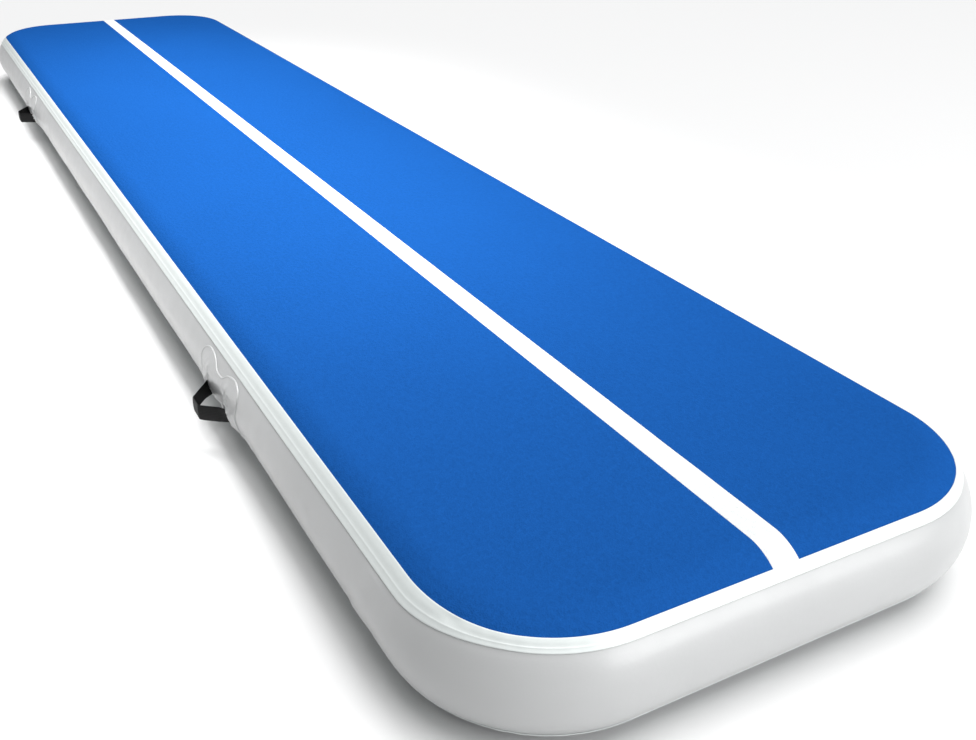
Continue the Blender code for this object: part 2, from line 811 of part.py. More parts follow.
def valve_strap(group, cutters, finish):
    """Hinged strap whose eye holds the cap."""
    eye = tube("valve_strap", EYE_INSIDE, EYE_OUTSIDE, EYE_LOW, EYE_HIGH, group, finish)
    arm = block("strap_arm", (-EYE_ARM_HALF, EYE_OUTSIDE - 3 * OVERLAP, EYE_LOW),
                (EYE_ARM_HALF, CAP_HINGE - HINGE_SPACE, EYE_HIGH), cutters)
    boolean(eye, cutter(arm), "UNION")


def valve_cap(group, cutters, finishes):
    """Cap with a wing to turn it by, a neck that turns in the eye and a groove for its seal."""
    cap_profile = [
        (0.0, CAP_DISC_HIGH), (CAP_RADIUS - 2 * OVERLAP, CAP_DISC_HIGH),
        (CAP_RADIUS, CAP_DISC_HIGH - 2 * OVERLAP), (CAP_RADIUS, CAP_DISC_LOW),
        (CAP_NECK, CAP_DISC_LOW), (CAP_NECK, 0.0099), (CAP_LUG, 0.0099), (CAP_LUG, 0.0080),
        (CAP_GROOVE, 0.0080), (CAP_GROOVE, 0.0060), (CAP_LUG, 0.0060),
        (CAP_LUG - MOULD_STEP, CAP_LOW), (0.0, CAP_LOW),
    ]
    cap = turned("valve_cap", cap_profile, False, group, finishes["valve"])
    wing = block("cap_wing", (-CAP_WING_HALF[0], -CAP_WING_HALF[1], CAP_DISC_HIGH - OVERLAP),
                 (*CAP_WING_HALF, CAP_DISC_HIGH + CAP_WING_HIGH), cutters)
    boolean(cap, cutter(wing), "UNION")
    tube("valve_cap_seal", CAP_SEAL[0], CAP_SEAL[1], 0.0063, 0.0077, group, finishes["rubber"])


# ---------------------------------------------------------------- assembly

def build():
    clear_scene()
    mat = new_collection("air_track_mat")
    cutters = new_collection("cutters")
    finishes = {
        "blue": material("blue_laminate", BLUE, 0.55),
        "stripe": material("white_stripe", WHITE, 0.50),
        "tape": material("rail_tape", TAPE_WHITE, 0.35),
        "wall": material("side_wall", WALL_GREY, 0.30),
        "base": material("bottom_skin", BASE_GREY, 0.60),
        "yarn": material("drop_stitch", YARN_WHITE, 0.85),
        "patch": material("handle_patch", WALL_GREY, 0.32),
        "webbing": material("webbing", WEBBING_BLACK, 0.80),
        "valve": material("valve_plastic", VALVE_GREY, 0.40),
        "button": material("button_plastic", VALVE_BLACK, 0.35),
        "strap": material("tether_rubber", VALVE_BLACK, 0.50),
        "rubber": material("seal_rubber", RUBBER_BLACK, 0.70),
        "spring": material("spring_steel", SPRING_STEEL, 0.25, 1.0),
    }
    edge = STRIPE_WIDTH / 2
    skin("top_panel_left", True, None, -edge - STRIPE_GAP, mat, finishes["blue"])
    skin("top_panel_right", True, edge + STRIPE_GAP, None, mat, finishes["blue"])
    skin("centre_stripe", True, -edge, edge, mat, finishes["stripe"])
    skin("bottom_skin", False, None, None, mat, finishes["base"])
    tape_start = PANEL_EDGE + SEAM_STEP / 2
    wall_ring("top_rail_tape", tape_start, TAPE_EDGE, GAP, LAYER, mat, finishes["tape"])
    wall_ring("bottom_rail_tape", 180 - TAPE_EDGE, 180 - tape_start, GAP, LAYER, mat,
              finishes["tape"])
    outer_wall = wall_ring("sidewall_outer", 0, 180, -PLY, 0.0, mat, finishes["wall"])
    inner_wall = wall_ring("sidewall_inner", 0, 180, -PLY - LAYER, -LAYER, mat, finishes["wall"])
    hole = cutter(rod("valve_hole", BARREL + GAP, 2 * SADDLE_LOW, -2 * SADDLE_LOW, cutters))
    boolean(outer_wall, hole, "DIFFERENCE")
    boolean(inner_wall, hole, "DIFFERENCE")
    drop_stitch_core(mat, cutters, finishes["yarn"])

    places = (("near_left", -1, NEAR_HANDLES), ("near_right", 1, NEAR_HANDLES),
              ("far_left", -1, FAR_HANDLES), ("far_right", 1, FAR_HANDLES))
    for label, side, along in places:
        carry_handle(label, side, along, mat, cutters, finishes)

    outer_shape = envelope("outer_envelope", GAP, cutters)
    inner_shape = envelope("inner_envelope", -2 * LAYER, cutters)
    valve_body(mat, cutters, finishes["valve"])
    valve_gaskets(mat, cutters, finishes["rubber"], outer_shape, inner_shape)
    tube("valve_nut", BARREL + GAP, FLANGE - 0.001, NUT_LOW, NUT_HIGH, mat, finishes["valve"])
    valve_patch(mat, cutters, finishes["patch"])
    valve_plunger(mat, cutters, finishes)
    valve_spring(mat, finishes["spring"])
    valve_tether(mat, cutters, finishes["strap"])
    valve_strap(mat, cutters, finishes["strap"])
    valve_cap(mat, cutters, finishes)


build()
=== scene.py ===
"""Looks of the air track mat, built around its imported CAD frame. Metres, +Z up.

The side wall bulges half round. A place on it has a running length round the mat, an angle on the
section (0 at the edge of the flat top, 90 at the widest line, 180 at the edge of the flat bottom)
and a lift off the wall's outer face.
"""
import math

import bpy
import numpy as np
from mathutils import Matrix, Vector, geometry


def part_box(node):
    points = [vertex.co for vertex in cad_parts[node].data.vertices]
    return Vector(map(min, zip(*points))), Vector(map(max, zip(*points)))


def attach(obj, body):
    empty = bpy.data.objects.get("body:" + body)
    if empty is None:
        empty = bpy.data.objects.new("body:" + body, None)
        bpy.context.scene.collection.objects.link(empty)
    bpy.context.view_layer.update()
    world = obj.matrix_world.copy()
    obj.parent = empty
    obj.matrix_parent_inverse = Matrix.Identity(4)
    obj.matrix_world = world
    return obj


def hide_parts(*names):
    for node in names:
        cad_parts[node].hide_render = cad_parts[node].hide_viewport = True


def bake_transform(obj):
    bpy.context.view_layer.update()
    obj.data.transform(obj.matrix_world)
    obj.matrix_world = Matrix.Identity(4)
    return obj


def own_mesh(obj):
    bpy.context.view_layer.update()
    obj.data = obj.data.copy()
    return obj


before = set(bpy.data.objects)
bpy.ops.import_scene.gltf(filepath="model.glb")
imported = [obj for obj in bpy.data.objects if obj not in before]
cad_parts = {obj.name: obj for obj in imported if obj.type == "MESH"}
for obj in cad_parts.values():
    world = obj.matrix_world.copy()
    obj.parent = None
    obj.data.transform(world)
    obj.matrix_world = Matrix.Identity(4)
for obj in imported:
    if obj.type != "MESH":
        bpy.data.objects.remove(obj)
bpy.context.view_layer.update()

# ---------------------------------------------------------------- sizes from the frame

def middle_of(*nodes):
    """Middle of the box round CAD nodes."""
    low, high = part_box(*nodes)
    return [(a + b) / 2 for a, b in zip(low, high)]


WALL_LOW, WALL_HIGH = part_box("sidewall_outer")
HALF_X = WALL_HIGH.x
HALF_Y = WALL_HIGH.y
MID = (WALL_HIGH.z + WALL_LOW.z) / 2
RISE = WALL_HIGH.z - MID

SHOULDER = 0.09
CORNER = 0.25
PLY = 0.0012
GAP = 0.0003
LAYER = PLY + GAP
FLAT_X = HALF_X - SHOULDER
FLAT_Y = HALF_Y - SHOULDER
FLAT_CORNER = CORNER - SHOULDER
PER_DEGREE = RISE * math.pi / 180

PANEL_EDGE = 32.4
TAPE_EDGE = 51.5
BAND_EDGE = 4.0
STRIPE_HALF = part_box("centre_stripe")[1].x
SKIN_EDGE = PANEL_EDGE + 1.4
SHARP_FOLD = 40.0

STRAIGHT_STEP = 0.016
CORNER_STEP = 0.0065
FLAT_STEP = 0.024
SHOULDER_ROWS = 12
ROW_SPACING = 0.87


# ---------------------------------------------------------------- meshes

def placed(name, data):
    """A new object in the scene."""
    made = bpy.data.objects.new(name, data)
    bpy.context.scene.collection.objects.link(made)
    return made


def new_piece(name, points, faces, finish, loop_uv=None, sharp=SHARP_FOLD):
    """A mesh object with its faces turned outward, smooth but for its sharp edges."""
    mesh = bpy.data.meshes.new(name)
    mesh.from_pydata([tuple(p) for p in points], [], faces)
    if loop_uv is not None:
        layer = mesh.uv_layers.new(name="UVMap")
        layer.data.foreach_set("uv", np.asarray(loop_uv, np.float32).ravel())
    if signed_volume(mesh) < 0:
        mesh.flip_normals()
    mesh.shade_smooth()
    mesh.set_sharp_from_angle(angle=math.radians(sharp))
    mesh.materials.append(finish)
    return placed(name, mesh)


def signed_volume(mesh):
    """Volume inside a mesh, below zero where its faces look inward."""
    mesh.calc_loop_triangles()
    corners = np.zeros(len(mesh.loop_triangles) * 3, np.int32)
    mesh.loop_triangles.foreach_get("vertices", corners)
    places = np.zeros(len(mesh.vertices) * 3, np.float32)
    mesh.vertices.foreach_get("co", places)
    places = places.reshape(-1, 3).astype(float)
    a, b, c = places[corners.reshape(-1, 3)].transpose(1, 0, 2)
    return float((a * np.cross(b, c)).sum() / 6)


def closed_ply(name, top, bottom, faces, uv, finish):
    """A closed sheet between two matching sets of points; faces run anticlockwise on the top."""
    count = len(top)
    used = {(f[i], f[(i + 1) % len(f)]) for f in faces for i in range(len(f))}
    rim = [(a, b) for a, b in used if (b, a) not in used]
    rim.sort()
    every = list(faces)
    every += [tuple(count + v for v in reversed(f)) for f in faces]
    every += [(b, a, count + a, count + b) for a, b in rim]
    places = np.vstack([top, bottom])
    flat = np.vstack([uv, uv])
    loop_uv = np.array([flat[v] for f in every for v in f])
    return new_piece(name, places, every, finish, loop_uv)


def grid_faces(rows, columns):
    """Quads of a grid whose points run along each row in turn."""
    found = []
    for row in range(rows - 1):
        for column in range(columns - 1):
            low = row * columns + column
            found.append((low, low + 1, low + columns + 1, low + columns))
    return found


def tube_faces(rows, columns, looped=False):
    """Quads of a tube whose points run round each row; its ends are capped or meet each other."""
    found = []
    for row in range(rows if looped else rows - 1):
        low, high = row * columns, (row + 1) % rows * columns
        for column in range(columns):
            after = (column + 1) % columns
            found.append((low + column, low + after, high + after, high + column))
    if not looped:
        found.append(tuple(reversed(range(columns))))
        found.append(tuple(range((rows - 1) * columns, rows * columns)))
    return found


def adopt(piece, body, slot, *nodes):
    """The piece rides on a body and stands for CAD nodes; slot is not used."""
    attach(piece, body)
    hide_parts(*nodes)
    return piece


# ---------------------------------------------------------------- the mat's outline

def half_outline(inset, straight_step=STRAIGHT_STEP, corner_step=CORNER_STEP):
    """Left half of the edge of the flat top, from the far end to the near end.

    Gives foot points, outward directions and running lengths at the widest line. It starts and
    ends at a distance inset to the left of the mat's middle.
    """
    feet, outward, lengths = [], [], []
    at = inset
    straight_x = FLAT_X - FLAT_CORNER
    straight_y = FLAT_Y - FLAT_CORNER
    runs = [
        ((-inset, FLAT_Y), (-straight_x, FLAT_Y), (0, 1)),
        ((-straight_x, straight_y), 90),
        ((-FLAT_X, straight_y), (-FLAT_X, -straight_y), (-1, 0)),
        ((-straight_x, -straight_y), 180),
        ((-straight_x, -FLAT_Y), (-inset, -FLAT_Y), (0, -1)),
    ]
    for run in runs:
        if len(run) == 3:
            start, end, square = run
            long = math.dist(start, end)
            steps = max(1, round(long / straight_step))
            for step in range(steps):
                share = step / steps
                feet.append([a + (b - a) * share for a, b in zip(start, end)])
                outward.append(square)
                lengths.append(at + long * share)
        else:
            centre, first = run
            long = CORNER * math.pi / 2
            steps = round(long / corner_step)
            for step in range(steps):
                turn = math.radians(first + 90 * step / steps)
                square = (math.cos(turn), math.sin(turn))
                feet.append([c + FLAT_CORNER * n for c, n in zip(centre, square)])
                outward.append(square)
                lengths.append(at + long * step / steps)
        at += long
    feet.append((-inset, -FLAT_Y))
    outward.append((0, -1))
    lengths.append(at)
    return np.array(feet, float), np.array(outward, float), np.array(lengths)


HALF_LENGTH = 2 * (FLAT_X - FLAT_CORNER) + 2 * (FLAT_Y - FLAT_CORNER) + math.pi * CORNER
FULL_LENGTH = 2 * HALF_LENGTH


def turned_half(half):
    """The right half of an outline, from its left half."""
    feet, outward, lengths = half
    return -feet, -outward, lengths + HALF_LENGTH


def full_outline():
    """The whole edge of the flat top, from the far end round by the left side."""
    left = half_outline(0.0)
    right = turned_half(left)
    return tuple(np.concatenate([a[:-1], b[:-1]]) for a, b in zip(left, right))


def length_on_left(along):
    """Running length of a place on the straight left side."""
    return (FLAT_X - FLAT_CORNER) + CORNER * math.pi / 2 + (FLAT_Y - FLAT_CORNER) - along


def length_on_side(side, along):
    """Running length of a place on either long side; side is -1 on the left."""
    return length_on_left(along) if side < 0 else HALF_LENGTH + length_on_left(-along)


def ring_points(outline, angles, lifts):
    """Points of an outline by the points of a section. Either may differ for every column."""
    feet, outward, _ = outline
    turns = np.radians(np.atleast_2d(np.asarray(angles, float)))
    turns = np.broadcast_to(turns, (len(feet), turns.shape[1]))
    lifts = np.broadcast_to(np.asarray(lifts, float), turns.shape)
    out = (SHOULDER + lifts) * np.sin(turns)
    up = MID + (RISE + lifts) * np.cos(turns)
    places = feet[:, None, :] + outward[:, None, :] * out[:, :, None]
    return np.concatenate([places, up[:, :, None]], axis=2)


# ---------------------------------------------------------------- how the wall gives

def bump(value, centre, width):
    """A smooth hump of height 1."""
    return np.exp(-((value - centre) / width) ** 2)


def around(length, centre):
    """Distance along the closed outline from a centre."""
    return (length - centre + FULL_LENGTH / 2) % FULL_LENGTH - FULL_LENGTH / 2


def ease(value, start, full):
    """A smooth step from 0 at start to 1 at full."""
    share = np.clip((value - start) / (full - start), 0.0, 1.0)
    return share * share * (3 - 2 * share)


END_REACH = (0.43, 0.63)
EDGE_KNOTS = [0.0, 31.6, 51.5, 90.0]
EDGE_SHIFTS = [0.0, 3.6, -4.6, 0.0]


def end_shift(length, angle):
    """Degrees that the seams move round the ends, where the tape is pulled narrower."""
    near = np.minimum(np.abs(around(length, 0.0)), np.abs(around(length, HALF_LENGTH)))
    ends = 1 - ease(near, *END_REACH)
    shift = np.interp(np.minimum(angle, 180 - angle), EDGE_KNOTS, EDGE_SHIFTS)
    return ends * shift * np.where(angle <= 90, 1.0, -1.0)


HANDLE_ALONG = [
    (side, middle_of(f"handle_loop_{label}")[1], label)
    for label, side in (("near_left", -1), ("near_right", 1), ("far_left", -1), ("far_right", 1))
]
LAP_FROM_END = 0.345
LAP_LENGTH = length_on_left(-HALF_Y + LAP_FROM_END)
WRINKLES = (-0.235, -0.185, -0.150, 0.165, 0.215)
WRINKLE_DEPTH = {"near": 0.0007, "far": 0.0011}


def creases(length, angle):
    """Soft wrinkles beside the handles and a slow unevenness of the whole wall."""
    free = ease(angle, 42, 62) * (1 - ease(angle, 118, 138))
    lift = np.zeros(np.broadcast(length, angle).shape)
    for number, (side, along, label) in enumerate(HANDLE_ALONG):
        place = around(length, length_on_side(side, along))
        strength = WRINKLE_DEPTH[label.split("_")[0]]
        for fold, shift in enumerate(WRINKLES):
            shift = shift + 0.012 * math.sin(7 * number + fold)
            lean = (angle - 90) * PER_DEGREE * (0.10 + 0.06 * math.sin(3 * fold + number))
            lift = lift - strength * bump(place + lean, shift, 0.009 + 0.003 * (fold % 3)) * free
            lift = lift + 0.6 * strength * bump(place + lean, shift + 0.016, 0.010) * free
    slow = 0.0006 * np.sin(length * 5.3 + 0.8) * np.sin(angle / 21.0 + length * 1.7)
    slow += 0.0004 * np.sin(length * 13.1 + angle / 17.0)
    return lift + slow * free


def corner_gathers(length, angle):
    """Puckers of the rail tapes round the four corners and a pocket beside the near left one."""
    lift = np.zeros(np.broadcast(length, angle).shape)
    near_edge = bump(angle, 40, 7) + bump(angle, 140, 7)
    for corner in range(4):
        half = (corner // 2) * HALF_LENGTH
        at = FLAT_X - FLAT_CORNER + CORNER * math.pi / 4
        at += (corner % 2) * (CORNER * math.pi / 2 + 2 * (FLAT_Y - FLAT_CORNER))
        place = around(length, half + at)
        inside = bump(place, 0.0, 0.15)
        wave = np.sin(place * 205 + 1.3 * corner) + 0.6 * np.sin(place * 131 + 2.1 * corner)
        lift = lift + 0.00022 * wave * inside * near_edge
    pocket = around(length, length_on_left(-HALF_Y + CORNER) + 0.115)
    lift = lift - 0.0014 * bump(pocket, 0.0, 0.020) * bump(angle, 37.5, 3.2)
    lift = lift + 0.0006 * bump(pocket, 0.004, 0.026) * bump(angle, 43.5, 3.0)
    return lift


class WallField:
    """Lift of the wall that the cloth simulation gives, read anywhere on the wall."""

    def __init__(self, lengths, angles, lifts):
        both = np.concatenate([lengths[:-1], lengths[:-1] + HALF_LENGTH])
        lifts = np.vstack([lifts[:-1], lifts[:-1]])
        self.lengths = np.concatenate([both[-2:] - FULL_LENGTH, both, both[:3] + FULL_LENGTH])
        self.angles = angles
        self.lifts = np.vstack([lifts[-2:], lifts, lifts[:3]])

    def at(self, length, angle):
        length, angle = np.broadcast_arrays(np.asarray(length, float) % FULL_LENGTH,
                                            np.asarray(angle, float))
        rows, row_share = self.between(self.lengths, length)
        columns, column_share = self.between(self.angles, angle)
        total = np.zeros(length.shape)
        for i, row_weight in enumerate(cubic(row_share)):
            row = np.clip(rows + i - 1, 0, len(self.lengths) - 1)
            for j, column_weight in enumerate(cubic(column_share)):
                column = np.clip(columns + j - 1, 0, len(self.angles) - 1)
                total += row_weight * column_weight * self.lifts[row, column]
        return total

    @staticmethod
    def between(knots, value):
        low = np.clip(np.searchsorted(knots, value, side="right") - 1, 0, len(knots) - 2)
        share = (value - knots[low]) / (knots[low + 1] - knots[low])
        return low, np.clip(share, 0.0, 1.0)


def cubic(share):
    """Weights of four neighbours for a smooth curve through evenly spaced values."""
    square, cube = share ** 2, share ** 3
    return (-0.5 * cube + square - 0.5 * share, 1.5 * cube - 2.5 * square + 1,
            -1.5 * cube + 2 * square + 0.5 * share, 0.5 * cube - 0.5 * square)


# ---------------------------------------------------------------- cloth simulation of the wall

SIM_FRAMES = 20
SIM_PRESSURE = 40.0
SIM_STRAIGHT = 0.028
SIM_CORNER = 0.010
SIM_ROWS = 21
END_LENGTH = 0.11
GIVE_LIMIT = 0.005
FREE_FROM = 46.0
GATHER = 0.45


def inflate_wall():
    """Blows up half of the wall band between its pinned rails and returns how far it gives."""
    outline = half_outline(0.0, SIM_STRAIGHT, SIM_CORNER)
    angles = np.concatenate([[0, 22, 36], np.linspace(44, 136, SIM_ROWS), [144, 158, 180]])
    columns, rows = len(outline[2]), len(angles)
    places = ring_points(outline, angles, np.zeros(rows))
    mesh = bpy.data.meshes.new("wall_sim")
    mesh.from_pydata([tuple(p) for p in places.reshape(-1, 3)], [], grid_faces(columns, rows))
    if signed_volume(mesh) < 0:
        mesh.flip_normals()
    piece = placed("wall_sim", mesh)
    pin_rails(piece, np.tile(angles, columns))
    give_rest_shape(piece, outline, angles)
    run_cloth(piece)
    moved = evaluated_points(piece).reshape(columns, rows, 3) - places
    lifts = (moved * section_normals(outline, angles)).sum(axis=2)
    bpy.data.objects.remove(piece, do_unlink=True)
    ends = np.searchsorted(outline[2], [END_LENGTH, HALF_LENGTH - END_LENGTH])
    lifts[:ends[0]] = lifts[ends[0]]
    lifts[ends[1]:] = lifts[ends[1]]
    return WallField(outline[2], angles, GIVE_LIMIT * np.tanh(lifts / GIVE_LIMIT))


def section_normals(outline, angles):
    """Directions square to the wall's plain section."""
    turns = np.radians(angles)
    across, up = np.sin(turns) * RISE, np.cos(turns) * SHOULDER
    long = np.hypot(across, up)
    _, outward, _ = outline
    flat = outward[:, None, :] * (across / long)[None, :, None]
    tall = np.broadcast_to((up / long)[None, :, None], (len(outward), len(turns), 1))
    return np.concatenate([flat, tall], axis=2)


def pin_rails(piece, angles):
    """Holds the band where the rail tapes cover it and lets it go over a few degrees."""
    group = piece.vertex_groups.new(name="pinned")
    from_middle = np.abs(angles - 90)
    free = 90 - FREE_FROM
    weights = np.clip((from_middle - free + 6) / 6, 0.0, 1.0)
    for vertex, weight in enumerate(weights):
        if weight > 0:
            group.add([vertex], float(weight), "REPLACE")


def give_rest_shape(piece, outline, angles):
    """The band was cut straight, so round a corner its edges hold more cloth than they cover."""
    piece.shape_key_add(name="Basis")
    key = piece.shape_key_add(name="cut")
    turns = np.radians(angles)
    out, up = SHOULDER * np.sin(turns), RISE * np.cos(turns)
    wide = out + (SHOULDER - out) * GATHER
    flat_step = np.diff(wide)
    step = np.hypot(np.diff(out), np.diff(up))
    rise = np.sqrt(np.maximum(step ** 2 - flat_step ** 2, 1e-12))
    tall = np.concatenate([[0], -np.cumsum(rise)])
    tall -= (tall[0] + tall[-1]) / 2
    feet, outward, _ = outline
    places = feet[:, None, :] + outward[:, None, :] * wide[None, :, None]
    height = np.broadcast_to(MID + tall[None, :, None], (len(feet), len(turns), 1))
    rest = np.concatenate([places, height], axis=2).reshape(-1, 3)
    key.data.foreach_set("co", rest.astype(np.float32).ravel())
    key.value = 0.0


def run_cloth(piece):
    """Blows the band out with inside pressure for a few frames."""
    cloth = piece.modifiers.new("Inflate", "CLOTH")
    settings = cloth.settings
    settings.quality = 4
    settings.mass = 0.6
    settings.tension_stiffness = 25
    settings.compression_stiffness = 25
    settings.shear_stiffness = 12
    settings.bending_stiffness = 0.6
    settings.use_pressure = True
    settings.uniform_pressure_force = SIM_PRESSURE
    settings.effector_weights.gravity = 0.0
    settings.vertex_group_mass = "pinned"
    settings.rest_shape_key = piece.data.shape_keys.key_blocks["cut"]
    cloth.collision_settings.use_collision = False
    cloth.point_cache.frame_start = 1
    cloth.point_cache.frame_end = SIM_FRAMES
    for number in range(1, SIM_FRAMES + 1):
        bpy.context.scene.frame_set(number)


def evaluated_points(piece):
    """Where the simulation has left the points."""
    depsgraph = bpy.context.evaluated_depsgraph_get()
    mesh = piece.evaluated_get(depsgraph).to_mesh()
    found = np.zeros(len(mesh.vertices) * 3, np.float32)
    mesh.vertices.foreach_get("co", found)
    piece.evaluated_get(depsgraph).to_mesh_clear()
    return found.reshape(-1, 3).astype(float)


WALL = inflate_wall()


def give(length, angle):
    """Everything that moves the wall's face off its plain section, apart from its own seams."""
    return WALL.at(length, angle) + creases(length, angle) + corner_gathers(length, angle)


# ---------------------------------------------------------------- skins, tapes and walls

def ring_piece(name, section, finish, seams=None):
    """A closed section, (angle, lift) all round it, swept round the whole mat."""
    outline = full_outline()
    angles = np.array([a for a, _ in section])
    lifts = np.array([d for _, d in section])[None, :]
    lengths = outline[2][:, None]
    drawn = angles[None, :] + end_shift(lengths, angles[None, :])
    lifts = lifts + give(lengths, drawn)
    if seams is not None:
        lifts = lifts + seams(lengths, angles[None, :]) * outer_half(section)[None, :]
    places = ring_points(outline, drawn, lifts)
    columns, rows = places.shape[:2]
    flat = np.radians(angles) * RISE
    ends = np.append(outline[2], FULL_LENGTH)
    loop_uv = []
    for here, there in zip(ends, ends[1:]):
        for row in range(rows):
            down = (row + 1) % rows
            loop_uv += [(here, flat[row]), (here, flat[down]), (there, flat[down]), (there, flat[row])]
    faces = tube_faces(columns, rows, looped=True)
    return new_piece(name, places.reshape(-1, 3), faces, finish, loop_uv)


def outer_half(section):
    """1 on a section's outer side and 0 on its inner side."""
    lifts = np.array([d for _, d in section])
    half = len(section) // 2
    mask = np.zeros(len(section))
    mask[:half + 1] = 1
    return mask if lifts[:half].mean() > lifts[half:].mean() else 1 - mask


def flat_cover(boundary, step):
    """Triangles that fill a flat outline: its own points first, then points inside it."""
    count = len(boundary)
    low, high = boundary.min(axis=0), boundary.max(axis=0)
    inner = []
    for number, y in enumerate(np.arange(low[1] + step / 2, high[1], step * ROW_SPACING)):
        start = low[0] + step * (0.5 if number % 2 else 0.25)
        xs = np.arange(start, high[0], step)
        inner.append(np.column_stack([xs, np.full(len(xs), y)]))
    inner = np.vstack(inner)
    inner = inner[inside(inner, boundary) & (distance(inner, boundary) > step * 0.45)]
    points = np.vstack([boundary, inner])
    made = geometry.delaunay_2d_cdt([Vector(p) for p in points], [], [list(range(count))], 1, 1e-7)
    places = np.array([(v.x, v.y) for v in made[0]])
    faces = [tuple(f) for f in made[2]]
    return places, [f if turns_left(places, f) else tuple(reversed(f)) for f in faces]


def turns_left(places, face):
    """Whether a face runs anticlockwise."""
    a, b, c = (places[v] for v in face[:3])
    return (b[0] - a[0]) * (c[1] - a[1]) - (b[1] - a[1]) * (c[0] - a[0]) > 0


def inside(points, polygon):
    """Which points lie inside a polygon."""
    crossed = np.zeros(len(points), bool)
    for (ax, ay), (bx, by) in zip(polygon, np.roll(polygon, -1, axis=0)):
        level = (ay > points[:, 1]) != (by > points[:, 1])
        with np.errstate(divide="ignore", invalid="ignore"):
            cross = ax + (points[:, 1] - ay) * (bx - ax) / (by - ay)
        crossed ^= level & (points[:, 0] < cross)
    return crossed


def distance(points, polygon):
    """Distance of each point to a polygon's outline."""
    best = np.full(len(points), np.inf)
    for a, b in zip(polygon, np.roll(polygon, -1, axis=0)):
        run = b - a
        share = np.clip(((points - a) @ run) / max(run @ run, 1e-15), 0.0, 1.0)
        best = np.minimum(best, np.linalg.norm(points - a - share[:, None] * run, axis=1))
    return best


def ripple(x, y):
    """The slight unevenness of a face that thousands of yarns hold flat."""
    return 0.00012 * (np.sin(21 * x + 9 * y) * np.sin(17 * y - 5 * x) + np.sin(57 * x) * np.sin(49 * y))


def skin_piece(name, half, finish, sign=1, closing=None):
    """A skin: its flat part filled inside the outline's run, then rows down the shoulder.

    half is a run of the outline and sign is 1 on top, -1 at the bottom. closing is the run
    that closes the flat part where the skin isn't the whole face.
    """
    feet, outward, lengths = half
    boundary = feet if closing is None else np.vstack([feet, closing])
    places, faces = flat_cover(boundary, FLAT_STEP)
    level = RISE + LAYER
    calm = ease(distance(places, boundary), 0.0, 0.06)
    raised = ripple(places[:, 0], places[:, 1]) * calm
    top = np.column_stack([places, MID + sign * (level + raised)])
    bottom = np.column_stack([places, MID + sign * (level - PLY + raised)])
    uv = places.copy()
    count = len(feet)
    last = count if closing is None else count - 1
    previous = list(range(count))
    lengths = lengths[:, None]
    for angle in np.linspace(0, SKIN_EDGE, SHOULDER_ROWS)[1:]:
        turn = np.array([[angle if sign > 0 else 180 - angle]])
        turn = turn + end_shift(lengths, turn)
        moved = give(lengths, turn)
        upper = ring_points((feet, outward, None), turn, LAYER + moved)[:, 0]
        lower = ring_points((feet, outward, None), turn, LAYER - PLY + moved)[:, 0]
        start = len(top)
        top = np.vstack([top, upper])
        bottom = np.vstack([bottom, lower])
        uv = np.vstack([uv, feet + outward * math.radians(angle) * SHOULDER])
        current = list(range(start, start + count))
        for index in range(last):
            after = (index + 1) % count
            faces.append((previous[index], current[index], current[after], previous[after]))
        previous = current
    if sign < 0:
        faces = [tuple(reversed(f)) for f in faces]
    return closed_ply(name, top, bottom, faces, uv, finish)


def stripe_piece(name, finish):
    """The white stripe: laid over the gap between the panels and down both shoulders."""
    across = np.array([-1, -0.975, -0.90, -0.6, -0.2, 0.2, 0.6, 0.90, 0.975, 1]) * (STRIPE_HALF + 0.0006)
    edge = np.array([-0.35, 0.05, 0.42, 0.45, 0.45, 0.45, 0.45, 0.42, 0.05, -0.35]) * 0.001
    flat = np.linspace(FLAT_Y, -FLAT_Y, round(2 * FLAT_Y / 0.02))
    angles = np.linspace(PANEL_EDGE + EDGE_SHIFTS[1] + 1.2, 0, SHOULDER_ROWS)[:-1]
    top, bottom, uv = [], [], []

    def add_row(y, turn, sign, along):
        lifts = LAYER + edge
        for x, lift in zip(across, lifts):
            for held, drop in ((top, 0.0), (bottom, PLY)):
                out = (SHOULDER + lift - drop) * math.sin(turn)
                up = MID + (RISE + lift - drop) * math.cos(turn)
                level = ripple(x, y) if turn == 0 else 0.0
                held.append((x, sign * (FLAT_Y + out) if turn else y, up + level))
            uv.append((x, along))

    for angle in angles:
        add_row(FLAT_Y, math.radians(angle), 1, FLAT_Y + math.radians(angle) * SHOULDER)
    for y in flat:
        add_row(y, 0.0, 1, y)
    for angle in reversed(angles):
        add_row(-FLAT_Y, math.radians(angle), -1, -FLAT_Y - math.radians(angle) * SHOULDER)
    rows = len(top) // len(across)
    faces = [tuple(reversed(f)) for f in grid_faces(rows, len(across))]
    return closed_ply(name, np.array(top), np.array(bottom), faces, np.array(uv), finish)


def tape_section(upside):
    """Rail tape: it lies over the panel's edge, drops onto the wall and ends in a welded rim."""
    outer = [
        (31.6, 1.55), (31.7, 2.05), (32.1, 2.45), (32.9, 2.62), (34.0, 2.50), (36.2, 2.42),
        (38.0, 2.20), (39.8, 1.75), (41.4, 1.35), (42.8, 1.22), (43.8, 1.26), (44.3, 1.50),
        (44.8, 1.52), (45.3, 1.28), (47.5, 1.20), (49.2, 1.14), (50.1, 1.30), (50.8, 1.22),
        (51.3, 0.85), (TAPE_EDGE, 0.30),
    ]
    inner = [(51.0, 0.05), (45.0, 0.05), (41.8, 0.05), (39.6, 0.55), (37.2, 1.30), (32.4, 1.55)]
    section = [(angle, lift / 1000) for angle, lift in outer + inner]
    return section if upside else [(180 - angle, lift) for angle, lift in section]


def wall_section(outer, rows):
    """Section of a wall band: one ply that reaches under both rail tapes."""
    angles = np.linspace(BAND_EDGE, 180 - BAND_EDGE, rows)
    return [(a, outer) for a in angles] + [(a, outer - PLY) for a in angles[::-1]]


